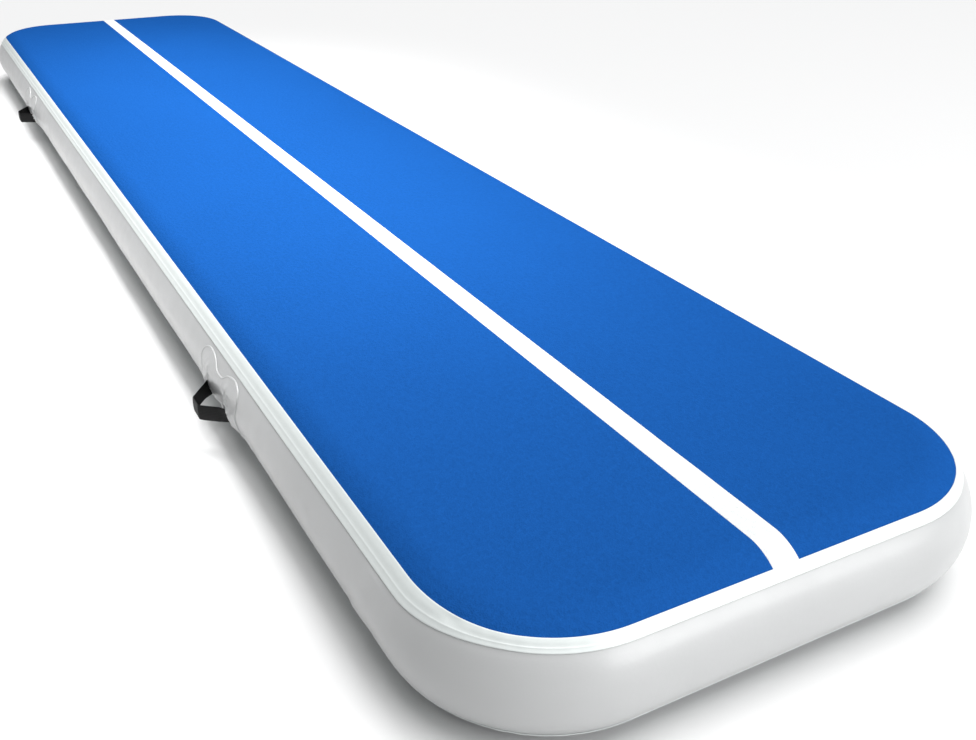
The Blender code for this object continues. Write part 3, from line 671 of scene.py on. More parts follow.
def wall_seams(length, angle):
    """The lap where the band's two ends meet, and the faint dip beside each rail tape."""
    place = around(length, LAP_LENGTH + (90 - angle) * PER_DEGREE * 0.55)
    lap = 0.0015 * ease(place, -0.0012, 0.0012) * (1 - ease(place, 0.028, 0.055))
    bead = 0.0013 * bump(place, -0.0005, 0.0016)
    dip = -0.0003 * (bump(angle, TAPE_EDGE + 0.8, 0.8) + bump(angle, 180 - TAPE_EDGE - 0.8, 0.8))
    from_tape = 90 - TAPE_EDGE - np.abs(angle - 90)
    return (lap + bead) * ease(from_tape, 0.5, 4.0) + dip


HOLE_RADIUS = 0.0232
HOLE_SIDES = 64
HOLE_REACH = 0.02


def open_for_valve(piece):
    """Cuts the round hole that the valve's barrel passes through."""
    turns = np.linspace(0, math.tau, HOLE_SIDES, endpoint=False)
    points = [on_valve(HOLE_RADIUS * math.cos(turn), -HOLE_RADIUS * math.sin(turn), out)
              for out in (-HOLE_REACH, HOLE_REACH) for turn in turns]
    cutter = new_piece("valve_hole", points, tube_faces(2, HOLE_SIDES), piece.data.materials[0])
    cut = piece.modifiers.new("valve_hole", "BOOLEAN")
    cut.object, cut.operation, cut.solver = cutter, "DIFFERENCE", "EXACT"
    ready = bpy.context.evaluated_depsgraph_get()
    mesh = bpy.data.meshes.new_from_object(piece.evaluated_get(ready))
    piece.modifiers.clear()
    piece.data = mesh
    mesh.set_sharp_from_angle(angle=math.radians(SHARP_FOLD))
    bpy.data.objects.remove(cutter, do_unlink=True)


def build_skins(paint):
    """Panels, stripe, bottom skin, tapes and both wall bands."""
    edge = STRIPE_HALF + 0.0004
    left = half_outline(edge)
    ends_left = np.array([(-edge, y) for y in np.linspace(-FLAT_Y, FLAT_Y, 190)[1:-1]])
    right = turned_half(left)
    for name, run, closing, node in (
        ("blue_panel_left", left, ends_left, "top_panel_left"),
        ("blue_panel_right", right, -ends_left, "top_panel_right"),
    ):
        piece = skin_piece(name, run, paint["blue"], closing=closing)
        adopt(piece, "mat", "blue_laminate", node)
    stripe = stripe_piece("white_centre_stripe", paint["stripe"])
    adopt(stripe, "mat", "white_stripe", "centre_stripe")
    base = skin_piece("grey_bottom_skin", full_outline(), paint["base"], sign=-1)
    adopt(base, "mat", "bottom_laminate", "bottom_skin")
    for name, upside, node in (("upper_rail_tape", True, "top_rail_tape"),
                               ("lower_rail_tape", False, "bottom_rail_tape")):
        tape = ring_piece(name, tape_section(upside), paint["tape"])
        adopt(tape, "mat", "rail_tape", node)
    outer = ring_piece("side_wall_band", wall_section(0.0, 58), paint["wall"], wall_seams)
    open_for_valve(outer)
    adopt(outer, "mat", "side_wall", "sidewall_outer")
    inner = ring_piece("side_wall_inner_band", wall_section(-LAYER, 20), paint["inner"])
    open_for_valve(inner)
    adopt(inner, "mat", "side_wall", "sidewall_inner")


YARN_ROWS, YARN_COLUMNS = 90, 20
YARN_RADIUS = 0.0011
YARN_SIDES = 4
YARN_LEAN = 0.004
CLOTH_THICK = 0.0025


def yarn_places():
    """Middles of the yarn bundles on an even grid, with how far each leans along the mat."""
    for row in range(YARN_ROWS):
        for column in range(YARN_COLUMNS):
            x = (column - (YARN_COLUMNS - 1) / 2) * 2 * (FLAT_X - 0.02) / YARN_COLUMNS
            y = (row - (YARN_ROWS - 1) / 2) * 2 * (FLAT_Y - 0.02) / YARN_ROWS
            yield x, y, YARN_LEAN * math.sin(37 * row + 11 * column)


def build_core(paint):
    """Two woven base cloths and the bundles of yarn that hold them apart."""
    places, faces = flat_cover(full_outline()[0][::3] * 0.9985, 0.12)
    for name, sign in (("upper_base_cloth", 1), ("lower_base_cloth", -1)):
        level = MID + sign * (RISE - GAP)
        top = np.column_stack([places, np.full(len(places), level)])
        low = np.column_stack([places, np.full(len(places), level - sign * CLOTH_THICK)])
        turned = faces if sign > 0 else [tuple(reversed(f)) for f in faces]
        piece = closed_ply(name, top, low, turned, places, paint["cloth"])
        adopt(piece, "mat", "drop_stitch", "drop_stitch_core")
    half = RISE - CLOTH_THICK / 2
    turns = [math.tau * step / YARN_SIDES for step in range(YARN_SIDES)]
    points, quads = [], []
    for x, y, lean in yarn_places():
        start = len(points)
        for side in (-1, 1):
            points += [(x + YARN_RADIUS * math.cos(turn), y + side * lean + YARN_RADIUS * math.sin(turn),
                        MID + side * half) for turn in turns]
        quads += [tuple(start + v for v in face) for face in tube_faces(2, YARN_SIDES)]
    yarns = new_piece("drop_stitch_yarns", points, quads, paint["cloth"])
    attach(yarns, "mat")


# ---------------------------------------------------------------- handles

LOOP_LOW, LOOP_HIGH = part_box("handle_loop_near_right")
STRAP_HEIGHT = (LOOP_LOW.z + LOOP_HIGH.z) / 2
STRAP_WIDTH = LOOP_HIGH.z - LOOP_LOW.z
STRAP_THICK = 0.0019
LOOP_OUT = LOOP_HIGH.x - HALF_X - STRAP_THICK / 2
TAIL_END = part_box("handle_tail_near_right_1")[1].y - HANDLE_ALONG[1][1] - 0.010
ROOT = 0.064
FRONT = 0.018
FOOT_BEND = 0.0045
FRONT_BEND = {"near": 0.006, "far": 0.013}
STRAP_STEP = 0.0022


def rounded_path(points, radii, step):
    """A polyline with round bends at its inner corners, sampled evenly enough for cloth."""
    points = [np.array(p, float) for p in points]
    path = [points[0]]
    for before, corner, after, radius in zip(points, points[1:], points[2:], radii):
        to_before = (before - corner) / np.linalg.norm(before - corner)
        to_after = (after - corner) / np.linalg.norm(after - corner)
        half = math.acos(float(np.clip(to_before @ to_after, -1, 1))) / 2
        back = radius / math.tan(half)
        centre_way = (to_before + to_after) / np.linalg.norm(to_before + to_after)
        centre = corner + centre_way * radius / math.sin(half)
        start, end = corner + to_before * back, corner + to_after * back
        first, last = start - centre, end - centre
        sweep = math.pi - 2 * half
        steps = max(4, round(radius * sweep / step * 2))
        side = np.sign(first[0] * last[1] - first[1] * last[0])
        for index in range(steps + 1):
            turn = side * sweep * index / steps
            spun = np.array([first[0] * math.cos(turn) - first[1] * math.sin(turn),
                             first[0] * math.sin(turn) + first[1] * math.cos(turn)])
            path.append(centre + spun)
    path.append(points[-1])
    filled = [path[0]]
    for a, b in zip(path, path[1:]):
        count = max(1, round(np.linalg.norm(b - a) / step))
        filled += [a + (b - a) * (k + 1) / count for k in range(count)]
    return np.array(filled)


def wall_out(height, length):
    """How far the wall's face stands from the widest line at a height, in or out."""
    cosine = np.clip((height - MID) / RISE, -1, 1)
    angle = np.degrees(np.arccos(cosine))
    lift = give(length, angle)
    return (SHOULDER + lift) * np.sin(np.radians(angle)) - SHOULDER


def strap_piece(name, side, along, bend, finish):
    """One length of webbing: both tails flat on the wall, the loop standing out from it."""
    lying = GAP + STRAP_THICK / 2
    path = rounded_path(
        [(lying, -TAIL_END), (lying, -ROOT - 0.0015), (LOOP_OUT, -FRONT), (LOOP_OUT, FRONT),
         (lying, ROOT + 0.0015), (lying, TAIL_END)],
        [FOOT_BEND, bend, bend, FOOT_BEND], STRAP_STEP)
    tangent = np.gradient(path, axis=0)
    tangent /= np.linalg.norm(tangent, axis=1)[:, None]
    run = np.concatenate([[0], np.cumsum(np.linalg.norm(np.diff(path, axis=0), axis=1))])
    profile = np.array(strap_profile(STRAP_WIDTH / 2))
    rise, thick = profile[None, :, 0], profile[None, :, 1]
    out, at = path[:, :1], path[:, 1:]
    off_wall = ease(out, 0.004, 0.016)
    share = np.clip((out - 0.004) / (LOOP_OUT - 0.004), 0.0, 1.0)
    height = STRAP_HEIGHT + rise - 0.0035 * ease(out, 0.010, LOOP_OUT)
    lay = (1 - off_wall) * wall_out(height, length_on_side(side, along + at))
    cup = -0.0012 * (2 * rise / STRAP_WIDTH) ** 2 * off_wall
    bow = 0.0006 * np.sin(np.pi * share)
    reach = out + tangent[:, 1:] * (thick + cup + bow) + lay
    shift = along + at - tangent[:, :1] * (thick + cup)
    points = np.stack([side * (HALF_X + reach), shift, height], axis=2).reshape(-1, 3)
    uv = np.stack(np.broadcast_arrays(run[:, None], rise), axis=2).reshape(-1, 2)
    faces = tube_faces(len(path), len(profile))
    loop_uv = [uv[v] for f in faces for v in f]
    return new_piece(name, points, faces, finish, loop_uv, 70.0)


def strap_profile(half):
    """Ribbed section of the webbing, (across, through), all round it."""
    steps = 44
    outer = []
    for index in range(steps + 1):
        across = -half + 2 * half * index / steps
        edge = (1 - abs(across / half) ** 10) ** 0.5 if abs(across) < half else 0.0
        rib = 0.00011 * math.cos(math.tau * 11 * (across + half) / (2 * half))
        outer.append((across, (STRAP_THICK / 2 - 0.00012) * edge + rib * edge))
    inner = [(across, -thick) for across, thick in reversed(outer[1:-1])]
    return outer + inner


PATCH_QUARTER = [
    (0.000, 0.0385), (0.019, 0.0410), (0.036, 0.0520), (0.057, 0.0590), (0.082, 0.0605),
    (0.105, 0.0520), (0.116, 0.0350), (0.1135, 0.0170), (0.1100, 0.0000),
]
PATCH_DROP = 0.003
PATCH_SHIFT = -0.010
PATCH_PLY = 0.0009
OUTLINE_STEP = 0.0026
PATCH_STEP = 0.0028
PATCH_RINGS = (0.0005, 0.0013, 0.0023, 0.0034, 0.0050)
LIP_HEIGHT = 0.0016
FOLD_HEIGHT, FOLD_REACH = 0.0010, 0.014
CREASE_HEIGHT, CREASE_REACH = 0.0044, 0.016


def smooth_loop(knots, step):
    """A smooth closed curve through knots, as evenly spaced points."""
    knots = np.array(knots, float)
    count = len(knots)
    dense = []
    for index in range(count):
        p0, p1, p2, p3 = (knots[(index + k) % count] for k in (-1, 0, 1, 2))
        for share in np.linspace(0, 1, 24, endpoint=False):
            weights = cubic(np.array(share))
            dense.append(sum(w * p for w, p in zip(weights, (p0, p1, p2, p3))))
    dense = np.array(dense + [dense[0]])
    run = np.concatenate([[0], np.cumsum(np.linalg.norm(np.diff(dense, axis=0), axis=1))])
    total = max(8, round(run[-1] / step))
    at = np.linspace(0, run[-1], total, endpoint=False)
    return np.column_stack([np.interp(at, run, dense[:, k]) for k in (0, 1)])


def patch_knots():
    """All four quarters of the patch's outline."""
    right = PATCH_QUARTER + [(x, -y) for x, y in reversed(PATCH_QUARTER[:-1])]
    left = [(-x, y) for x, y in reversed(right[1:-1])]
    return [(x, y - PATCH_DROP) for x, y in reversed(right + left)]


def sheet_with_holes(outer, holes, rings, step):
    """Triangles between an outline and its holes, with rings of points just inside the outline."""
    boundary = [outer, *holes]
    points = [*boundary]
    for inset in rings:
        points.append(shrunk(outer, inset))
        points += [shrunk(hole, -inset) for hole in holes]
    low, high = outer.min(axis=0), outer.max(axis=0)
    rows = []
    for number, y in enumerate(np.arange(low[1], high[1], step * ROW_SPACING)):
        xs = np.arange(low[0] + (step / 2 if number % 2 else 0), high[0], step)
        rows.append(np.column_stack([xs, np.full(len(xs), y)]))
    inner = np.vstack(rows)
    keep = inside(inner, outer) & (distance(inner, outer) > rings[-1] + step * 0.5)
    for hole in holes:
        keep &= ~inside(inner, hole) & (distance(inner, hole) > rings[-1] + step * 0.5)
    points.append(inner[keep])
    edges, start = [], 0
    for loop in boundary:
        count = len(loop)
        edges += [(start + k, start + (k + 1) % count) for k in range(count)]
        start += count
    every = np.vstack(points)
    made = geometry.delaunay_2d_cdt([Vector(p) for p in every], edges, [], 0, 1e-7)
    places = np.array([(v.x, v.y) for v in made[0]])
    faces = [tuple(f) for f in made[2]]
    centres = np.array([places[list(f)].mean(axis=0) for f in faces])
    keep = inside(centres, outer)
    for hole in holes:
        keep &= ~inside(centres, hole)
    faces = [f for f, kept in zip(faces, keep) if kept]
    faces = [f if turns_left(places, f) else tuple(reversed(f)) for f in faces]
    used = sorted({v for f in faces for v in f})
    renumber = {v: k for k, v in enumerate(used)}
    return places[used], [tuple(renumber[v] for v in f) for f in faces]


def shrunk(loop, inset):
    """A loop moved inwards by a distance, square to its outline."""
    tangent = np.roll(loop, -1, axis=0) - np.roll(loop, 1, axis=0)
    tangent /= np.linalg.norm(tangent, axis=1)[:, None]
    area = (loop[:, 0] * np.roll(loop[:, 1], -1) - np.roll(loop[:, 0], -1) * loop[:, 1]).sum()
    square = np.column_stack([-tangent[:, 1], tangent[:, 0]]) * np.sign(area)
    return loop + square * inset


SLIT_HALF = STRAP_WIDTH / 2 + 0.0028
SLIT_WIDE = 0.0042
SLIT_STEPS = 28


def slit_loop(side, centre_rise):
    """Crescent slit that a strap leaves through, bowed away from the handle's middle."""
    loop = []
    for index in range(SLIT_STEPS):
        turn = math.tau * index / SLIT_STEPS
        rise = SLIT_HALF * math.sin(turn)
        bow = 0.0035 * (1 - (rise / SLIT_HALF) ** 2)
        at = ROOT - 0.0030 + SLIT_WIDE * math.cos(turn) * (1 - 0.35 * abs(math.sin(turn))) + bow
        loop.append((side * at, centre_rise + rise))
    return np.array(loop)


def welded_rim(rim, bead):
    """Lift of a patch by the distance to its edge: it steps up and carries a pressed bead."""
    return GAP + 0.0008 * ease(rim, 0.0, 0.0009) + bead * bump(rim, 0.0019, 0.0011)


def patch_underside(lift):
    """Lift of a patch's lower face, at most a gap below the wall's face."""
    return np.maximum(lift - PATCH_PLY, -GAP)


def over_tails(across, over):
    """1 where a strap's tail lies under the patch, easing to 0 beside it."""
    along_tail = ease(across, ROOT - 0.006, ROOT + 0.002) * (1 - ease(across, TAIL_END, TAIL_END + 0.007))
    return along_tail * (1 - ease(over, STRAP_WIDTH / 2 + 0.0005, STRAP_WIDTH / 2 + 0.008))


def slit_creases(places, hole, rim, seed):
    """Raised lip round a slit with folds and sharper creases that fan out of it."""
    gap = distance(places, hole)
    lip = LIP_HEIGHT * np.exp(-gap / 0.0022) + 0.0006 * bump(gap, 0.009, 0.003)
    way = hole.mean(axis=0)
    turn = np.arctan2(places[:, 1] - way[1], (places[:, 0] - way[0]) * np.sign(way[0]))
    swirl = 1.4 * np.sin(gap * 260 + 3 * seed)
    folds = np.sin(9 * turn + seed + swirl) * 0.6 + np.sin(14 * turn + 2.3 * seed) * 0.4
    creased = (0.5 + 0.5 * np.cos(11 * turn + 2 * seed + swirl)) ** 2.5
    creased = creased + 0.5 * (0.5 + 0.5 * np.cos(17 * turn + seed - 2 * swirl)) ** 2
    near = ease(gap, 0.0010, 0.0070)
    fan = (FOLD_HEIGHT * folds * np.exp(-gap / FOLD_REACH)
           + CREASE_HEIGHT * creased * np.exp(-gap / CREASE_REACH)) * near * ease(rim, 0.001, 0.010)
    return lip, fan


def patch_piece(name, side, along, finish, seed):
    """Bone-shaped patch with a welded rim, raised over the strap's tails and puckered."""
    middle = 90 - math.degrees(math.acos((STRAP_HEIGHT - MID) / RISE))
    centre_rise = middle * PER_DEGREE
    outer = smooth_loop(patch_knots(), OUTLINE_STEP)
    outer = outer + np.array([PATCH_SHIFT * side, 0.0])
    holes = [slit_loop(1, centre_rise), slit_loop(-1, centre_rise)]
    places, faces = sheet_with_holes(outer, holes, PATCH_RINGS, PATCH_STEP)
    x, rise = places[:, 0], places[:, 1]
    rim = distance(places, outer)
    tail = over_tails(np.abs(x), np.abs(rise - centre_rise))
    lift = welded_rim(rim, 0.0011) + (STRAP_THICK + 0.0004) * tail
    for hole in holes:
        lip, fan = slit_creases(places, hole, rim, seed)
        lift = lift + lip + fan
    lift = np.maximum(lift, (STRAP_THICK + 0.0012) * tail)
    lift = lift + 0.00025 * np.sin(x * 61 + seed) * np.sin(rise * 83 + 2 * seed) * ease(rim, 0, 0.02)
    angle = 90 - rise / PER_DEGREE
    where = length_on_side(side, 0.0) + side * (along + x * side)
    moved = give(where, angle)
    top = on_side_wall(side, along + x * side, angle, moved + lift)
    low = on_side_wall(side, along + x * side, angle, moved + patch_underside(lift))
    return closed_ply(name, top, low, faces, places, finish)


def on_side_wall(side, along, angle, lift):
    """Points on the straight run of a long wall."""
    turn = np.radians(angle)
    out = (SHOULDER + lift) * np.sin(turn)
    return np.column_stack([side * (FLAT_X + out), along, MID + (RISE + lift) * np.cos(turn)])


def build_handles(paint):
    """The patches lie on the mat; each strap's loop stands out from the wall and its tails lie on the mat.
    """
    for number, (side, along, label) in enumerate(HANDLE_ALONG):
        patch = patch_piece(f"bone_patch_{label}", side, along, paint["patch"], 1.7 * number + 0.6)
        adopt(patch, "mat", "handle_patch", f"handle_patch_{label}")
        bend = FRONT_BEND[label.split("_")[0]]
        strap = strap_piece(f"webbing_strap_{label}", side, along, bend, paint["webbing"])
        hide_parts(f"handle_loop_{label}", f"handle_tail_{label}_1",
                    f"handle_tail_{label}_2")
        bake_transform(strap)


# ---------------------------------------------------------------- inflation valve

VALVE_STEPS = 96
VALVE_Y = HALF_Y
BODY_LOW, BODY_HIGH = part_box("valve_body")
VALVE_Z = (BODY_LOW.z + BODY_HIGH.z) / 2

# Distances out from the wall's widest line, and radii from the valve's axis
FLANGE_RADIUS = BODY_HIGH.x
FLANGE_LOW, FLANGE_HIGH = 0.0028, 0.0053
COLLAR_RADIUS = 0.023
COLLAR_HIGH = BODY_HIGH.y - VALVE_Y
BARREL_RADIUS = 0.0225
BORE_RADIUS = 0.0175
SEAT_LOW = BODY_LOW.y - VALVE_Y
SEAT_HIGH = SEAT_LOW + 0.003
SEAT_HOLE = 0.011
GUIDE_RADIUS = 0.0055
GUIDE_HIGH = SEAT_LOW + 0.006
WEB_START, WEB_HALF = 0.0050, 0.0015
THREAD_HIGH, THREAD_PITCH, THREAD_COUNT = -0.0075, 0.0022, 3
LUG_LOW, LUG_HIGH, LUG_HALF, LUG_COUNT = -0.0065, -0.0035, 0.0013, 3
NUT_RADIUS, NUT_LOW, NUT_HIGH = 0.029, -0.0140, -0.0080
SADDLE_HIGH, SADDLE_LIFT = 0.0025, 0.0003
INNER_SADDLE_DROP, INNER_SADDLE_LOW = -0.0030, -0.0077
PATCH_RADIUS, PATCH_HOLE = 0.0518, 0.0317

STEM_RADIUS, STEM_HIGH = 0.0028, -0.0108
PLATE_RADIUS, PLATE_LOW, PLATE_HIGH = 0.0130, -0.0380, -0.0360
WASHER_LOW, WASHER_HIGH = -0.0357, -0.0343
BUTTON_RADIUS, BUTTON_LOW, BUTTON_HIGH = 0.0080, -0.0125, -0.0090
BUTTON_INSIDE = -0.0105
GRIP_HALF, GRIP_LOW, GRIP_HIGH = (0.0062, 0.0011), -0.0094, -0.0076
COIL_RADIUS, WIRE_RADIUS, COIL_TURNS = 0.0052, 0.00045, 5.5
WIRE_SIDES, WIRE_STEPS = 10, 26

TETHER_RADIUS, TETHER_LOW, TETHER_HIGH = 0.0274, 0.0056, 0.0072
ARM_HALF, ARM_START, ARM_END = 0.005, 0.0265, 0.0334
POST_START, POST_LOW, POST_HIGH = 0.0318, 0.0060, 0.0120
EYE_INSIDE, EYE_RADIUS, EYE_LOW, EYE_HIGH = 0.0154, 0.0200, 0.0104, 0.0120
BAND_HALF, BAND_START, BAND_END = 0.0045, 0.0185, 0.0291
CAP_RADIUS, CAP_LOW, CAP_HIGH = 0.0250, 0.0124, 0.0154
NECK_RADIUS, PLUG_RADIUS, PLUG_LOW = 0.0149, 0.0159, 0.0045
GROOVE_RADIUS, GROOVE_LOW, GROOVE_HIGH, PLUG_HIGH = 0.0145, 0.0060, 0.0080, 0.0099
WING_HALF, WING_LOW, WING_HIGH = (0.0160, 0.0020), 0.0149, 0.0184
RING_RADIUS, RING_OUT, RING_THICK = 0.01555, 0.0070, (0.00072, 0.00068)


def on_valve(x, down, out):
    """A point in the valve's own frame: right, down and out of the far wall."""
    return (x, VALVE_Y + out, VALVE_Z - down)


def moulded(name, points, faces, finish, sharp=30.0):
    """A small piece of the valve; its grain is laid on from the front."""
    uv = [(points[v][0], points[v][2]) for f in faces for v in f]
    return new_piece(name, points, faces, finish, uv, sharp)


def lathe(name, profile, finish, notch=None, steps=VALVE_STEPS):
    """A turned piece. The profile is closed, (radius, out); notch takes some off a radius."""
    points = []
    for step in range(steps):
        turn = math.tau * step / steps
        for radius, out in profile:
            wide = radius - notch(turn, radius, out) if notch else radius
            points.append(on_valve(wide * math.cos(turn), wide * math.sin(turn), out))
    return moulded(name, points, tube_faces(steps, len(profile), looped=True), finish)


def rounded_profile(corners, radius):
    """A closed profile with each corner cut round by a few points."""
    made = []
    count = len(corners)
    for index in range(count):
        corner = np.array(corners[index])
        before, after = np.array(corners[index - 1]), np.array(corners[(index + 1) % count])
        back = min(radius, np.linalg.norm(before - corner) / 2.2, np.linalg.norm(after - corner) / 2.2)
        start = corner + (before - corner) / np.linalg.norm(before - corner) * back
        end = corner + (after - corner) / np.linalg.norm(after - corner) * back
        for share in (0.0, 0.33, 0.67, 1.0):
            first, last = start + (corner - start) * share, corner + (end - corner) * share
            made.append(tuple(first + (last - first) * share))
    return made


def axis_profile(corners, radius):
    """Like rounded_profile, but the points on the axis stay where they are."""
    made = [(max(0.0, wide), out) for wide, out in rounded_profile(corners, radius)]
    sharp = [c for c in corners if c[0] == 0.0]
    return [sharp[0]] + [p for p in made if p[0] > 1e-7] + [sharp[-1]]


def band_profile(inside, outside, first, last, radius):
    """The profile of a plain ring with rounded edges, from one face to the other."""
    return rounded_profile([(inside, first), (outside, first), (outside, last), (inside, last)],
                           radius)


def scallop(turn, count, depth, power):
    """Depth of evenly spaced rounded notches at a turn."""
    return depth * (0.5 + 0.5 * math.cos(count * turn)) ** power


def joined(name, pieces, finish):
    """One mesh object from several separate closed bodies."""
    points, faces, uv = [], [], []
    for piece in pieces:
        start = len(points)
        points += [tuple(v.co) for v in piece.data.vertices]
        faces += [tuple(start + v for v in p.vertices) for p in piece.data.polygons]
        uv += [tuple(d.uv) for d in piece.data.uv_layers[0].data]
        bpy.data.objects.remove(piece, do_unlink=True)
    return new_piece(name, points, faces, finish, uv, 30.0)


def blocky(name, low, high, finish, round_off=0.0005):
    """A small moulded block with rounded edges, in the valve's own frame (x, down, out)."""
    low, high = np.array(low), np.array(high)
    levels = [(low[2], round_off), (low[2] + round_off, 0.0), (high[2] - round_off, 0.0),
              (high[2], round_off)]
    outline = rounded_profile([(low[0], low[1]), (high[0], low[1]), (high[0], high[1]),
                               (low[0], high[1])], round_off * 1.4)
    middle = (low[:2] + high[:2]) / 2
    points = []
    for out, inset in levels:
        for place in outline:
            way = np.array(place) - middle
            way = way - np.sign(way) * inset * 0.8
            points.append(on_valve(middle[0] + way[0], middle[1] + way[1], out))
    return moulded(name, points, tube_faces(len(levels), len(outline)), finish)


def centred_block(name, halves, low, high, finish, round_off=0.0005):
    """A block centred on the valve's axis."""
    return blocky(name, [-halves[0], -halves[1], low], [*halves, high], finish, round_off)


def seat_webs(plastic):
    """Four webs that hold the stem's guide in the middle of the bore."""
    webs = []
    ends = (WEB_START, BORE_RADIUS + 0.0005)
    for across, down in ((1, 0), (0, 1), (-1, 0), (0, -1)):
        wide, tall = WEB_HALF * abs(down), WEB_HALF * abs(across)
        low = [min(end * across for end in ends) - wide, min(end * down for end in ends) - tall]
        high = [max(end * across for end in ends) + wide, max(end * down for end in ends) + tall]
        webs.append(blocky("web", [*low, SEAT_HIGH + 0.0005], [*high, GUIDE_HIGH], plastic, 0.0004))
    return webs


def nozzle_lugs(plastic):
    """Three small lugs inside the bore for a pump's nozzle."""
    lugs = []
    for number in range(LUG_COUNT):
        turn = math.tau * number / LUG_COUNT + 0.5
        x, down = ((BORE_RADIUS - 0.0006) * f(turn) for f in (math.cos, math.sin))
        lugs.append(blocky("lug", [x - LUG_HALF, down - LUG_HALF, LUG_LOW],
                           [x + LUG_HALF, down + LUG_HALF, LUG_HIGH], plastic, 0.0003))
    return lugs


def barrel_thread(plastic):
    """Shallow rings round the barrel that stand for its thread."""
    ribs = []
    for number in range(THREAD_COUNT):
        out = THREAD_HIGH - THREAD_PITCH * number
        root, crest = BARREL_RADIUS - 0.0004, BARREL_RADIUS + 0.0002
        profile = [(root, out + 0.0007), (crest, out + 0.0002), (crest, out - 0.0002),
                   (root, out - 0.0007)]
        ribs.append(lathe("thread", rounded_profile(profile, 0.0001), plastic))
    return ribs


def build_valve_housing(paint):
    """The flanged body with its seat, guide, thread and nozzle lugs."""
    plastic = paint["valve"]
    corners = [
        (BORE_RADIUS, COLLAR_HIGH), (COLLAR_RADIUS, COLLAR_HIGH), (COLLAR_RADIUS, FLANGE_HIGH),
        (FLANGE_RADIUS, FLANGE_HIGH), (FLANGE_RADIUS, FLANGE_LOW), (BARREL_RADIUS, FLANGE_LOW),
        (BARREL_RADIUS, SEAT_LOW), (SEAT_HOLE, SEAT_LOW), (SEAT_HOLE, SEAT_HIGH),
        (BORE_RADIUS, SEAT_HIGH),
    ]

    def grips(turn, radius, out):
        on_rim = radius > FLANGE_RADIUS - 0.0012 and out > FLANGE_LOW + 0.0002
        return scallop(turn, 24, 0.0007, 4) if on_rim else 0.0

    shell = lathe("shell", rounded_profile(corners, 0.0006), plastic, grips, 192)
    hub = lathe("hub", band_profile(STEM_RADIUS + 0.0004, GUIDE_RADIUS, SEAT_HIGH + 0.0002,
                                    GUIDE_HIGH + 0.0004, 0.0003), plastic)
    webs = seat_webs(plastic)
    ribs = barrel_thread(plastic)
    lugs = nozzle_lugs(plastic)
    body = joined("valve_housing", [shell, hub, *webs, *ribs, *lugs], plastic)
    adopt(body, "mat", "valve_plastic", "valve_body")


def wall_gap(down):
    """Where the far wall's face stands, out from the valve's datum, at a height beside its axis."""
    angle = math.acos(min(1.0, max(-1.0, -down / RISE)))
    return SHOULDER * math.sin(angle) - SHOULDER


def saddle_gasket(name, outer_radius, faces_at, finish):
    """A rubber ring with one face flat and the other fitted to the wall's bulge."""
    inner_radius = BARREL_RADIUS + GAP
    steps = 72
    radii = np.linspace(inner_radius, outer_radius, 6)
    ring = [(r, False) for r in radii] + [(r, True) for r in radii[::-1]]
    points = []
    for step in range(steps):
        turn = math.tau * step / steps
        for radius, lower in ring:
            x, down = radius * math.cos(turn), radius * math.sin(turn)
            rim = min(radius - inner_radius, outer_radius - radius)
            points.append(on_valve(x, down, faces_at(down, rim, lower)))
    return moulded(name, points, tube_faces(steps, len(ring), looped=True), finish)


def build_valve_trim(paint):
    """Both saddle gaskets and the nut that clamps the wall between them."""
    def outer_faces(down, rim, lower):
        eased = 0.0004 * (1 - min(1.0, rim / 0.0006))
        return wall_gap(down) + SADDLE_LIFT if lower else SADDLE_HIGH - eased

    def inner_faces(down, rim, lower):
        return INNER_SADDLE_LOW if lower else wall_gap(down) + INNER_SADDLE_DROP

    for name, node, radius, faces_at in (
        ("outer_saddle_gasket", "valve_saddle_outer", FLANGE_RADIUS + 0.001, outer_faces),
        ("inner_saddle_gasket", "valve_saddle_inner", FLANGE_RADIUS - 0.001, inner_faces),
    ):
        gasket = saddle_gasket(name, radius, faces_at, paint["rubber"])
        adopt(gasket, "mat", "seal_rubber", node)

    def flutes(turn, radius, out):
        return scallop(turn, 16, 0.0011, 3) if radius > NUT_RADIUS - 0.001 else 0.0

    profile = band_profile(BARREL_RADIUS + GAP, NUT_RADIUS, NUT_HIGH, NUT_LOW, 0.0007)
    nut = lathe("fluted_clamp_nut", profile, paint["valve"], flutes, 192)
    adopt(nut, "mat", "valve_plastic", "valve_nut")


def build_valve_patch(paint):
    """Round patch welded to the far wall round the flange."""
    outer, hole = (np.array([(radius * math.cos(t), radius * math.sin(t))
                             for t in np.linspace(0, math.tau, count, endpoint=False)])
                   for radius, count in ((PATCH_RADIUS, 132), (PATCH_HOLE, 84)))
    places, faces = sheet_with_holes(outer, [hole], (0.0005, 0.0013, 0.0023, 0.0036), 0.004)
    x, rise = places[:, 0], places[:, 1]
    rim = distance(places, outer)
    lift = welded_rim(rim, 0.0005)
    lift = lift + 0.00018 * np.sin(x * 71) * np.sin(rise * 93)
    angle = 90 - rise / PER_DEGREE
    moved = give(np.where(x < 0, -x, FULL_LENGTH - x), angle) * ease(np.hypot(x, rise), 0.034, 0.048)

    def on_far_wall(lifts):
        turn = np.radians(angle)
        return np.column_stack([x, FLAT_Y + (SHOULDER + lifts) * np.sin(turn),
                                MID + (RISE + lifts) * np.cos(turn)])

    piece = closed_ply("round_valve_patch", on_far_wall(moved + lift),
                       on_far_wall(moved + patch_underside(lift)),
                       [tuple(reversed(f)) for f in faces], places, paint["patch"])
    adopt(piece, "mat", "handle_patch", "valve_patch")


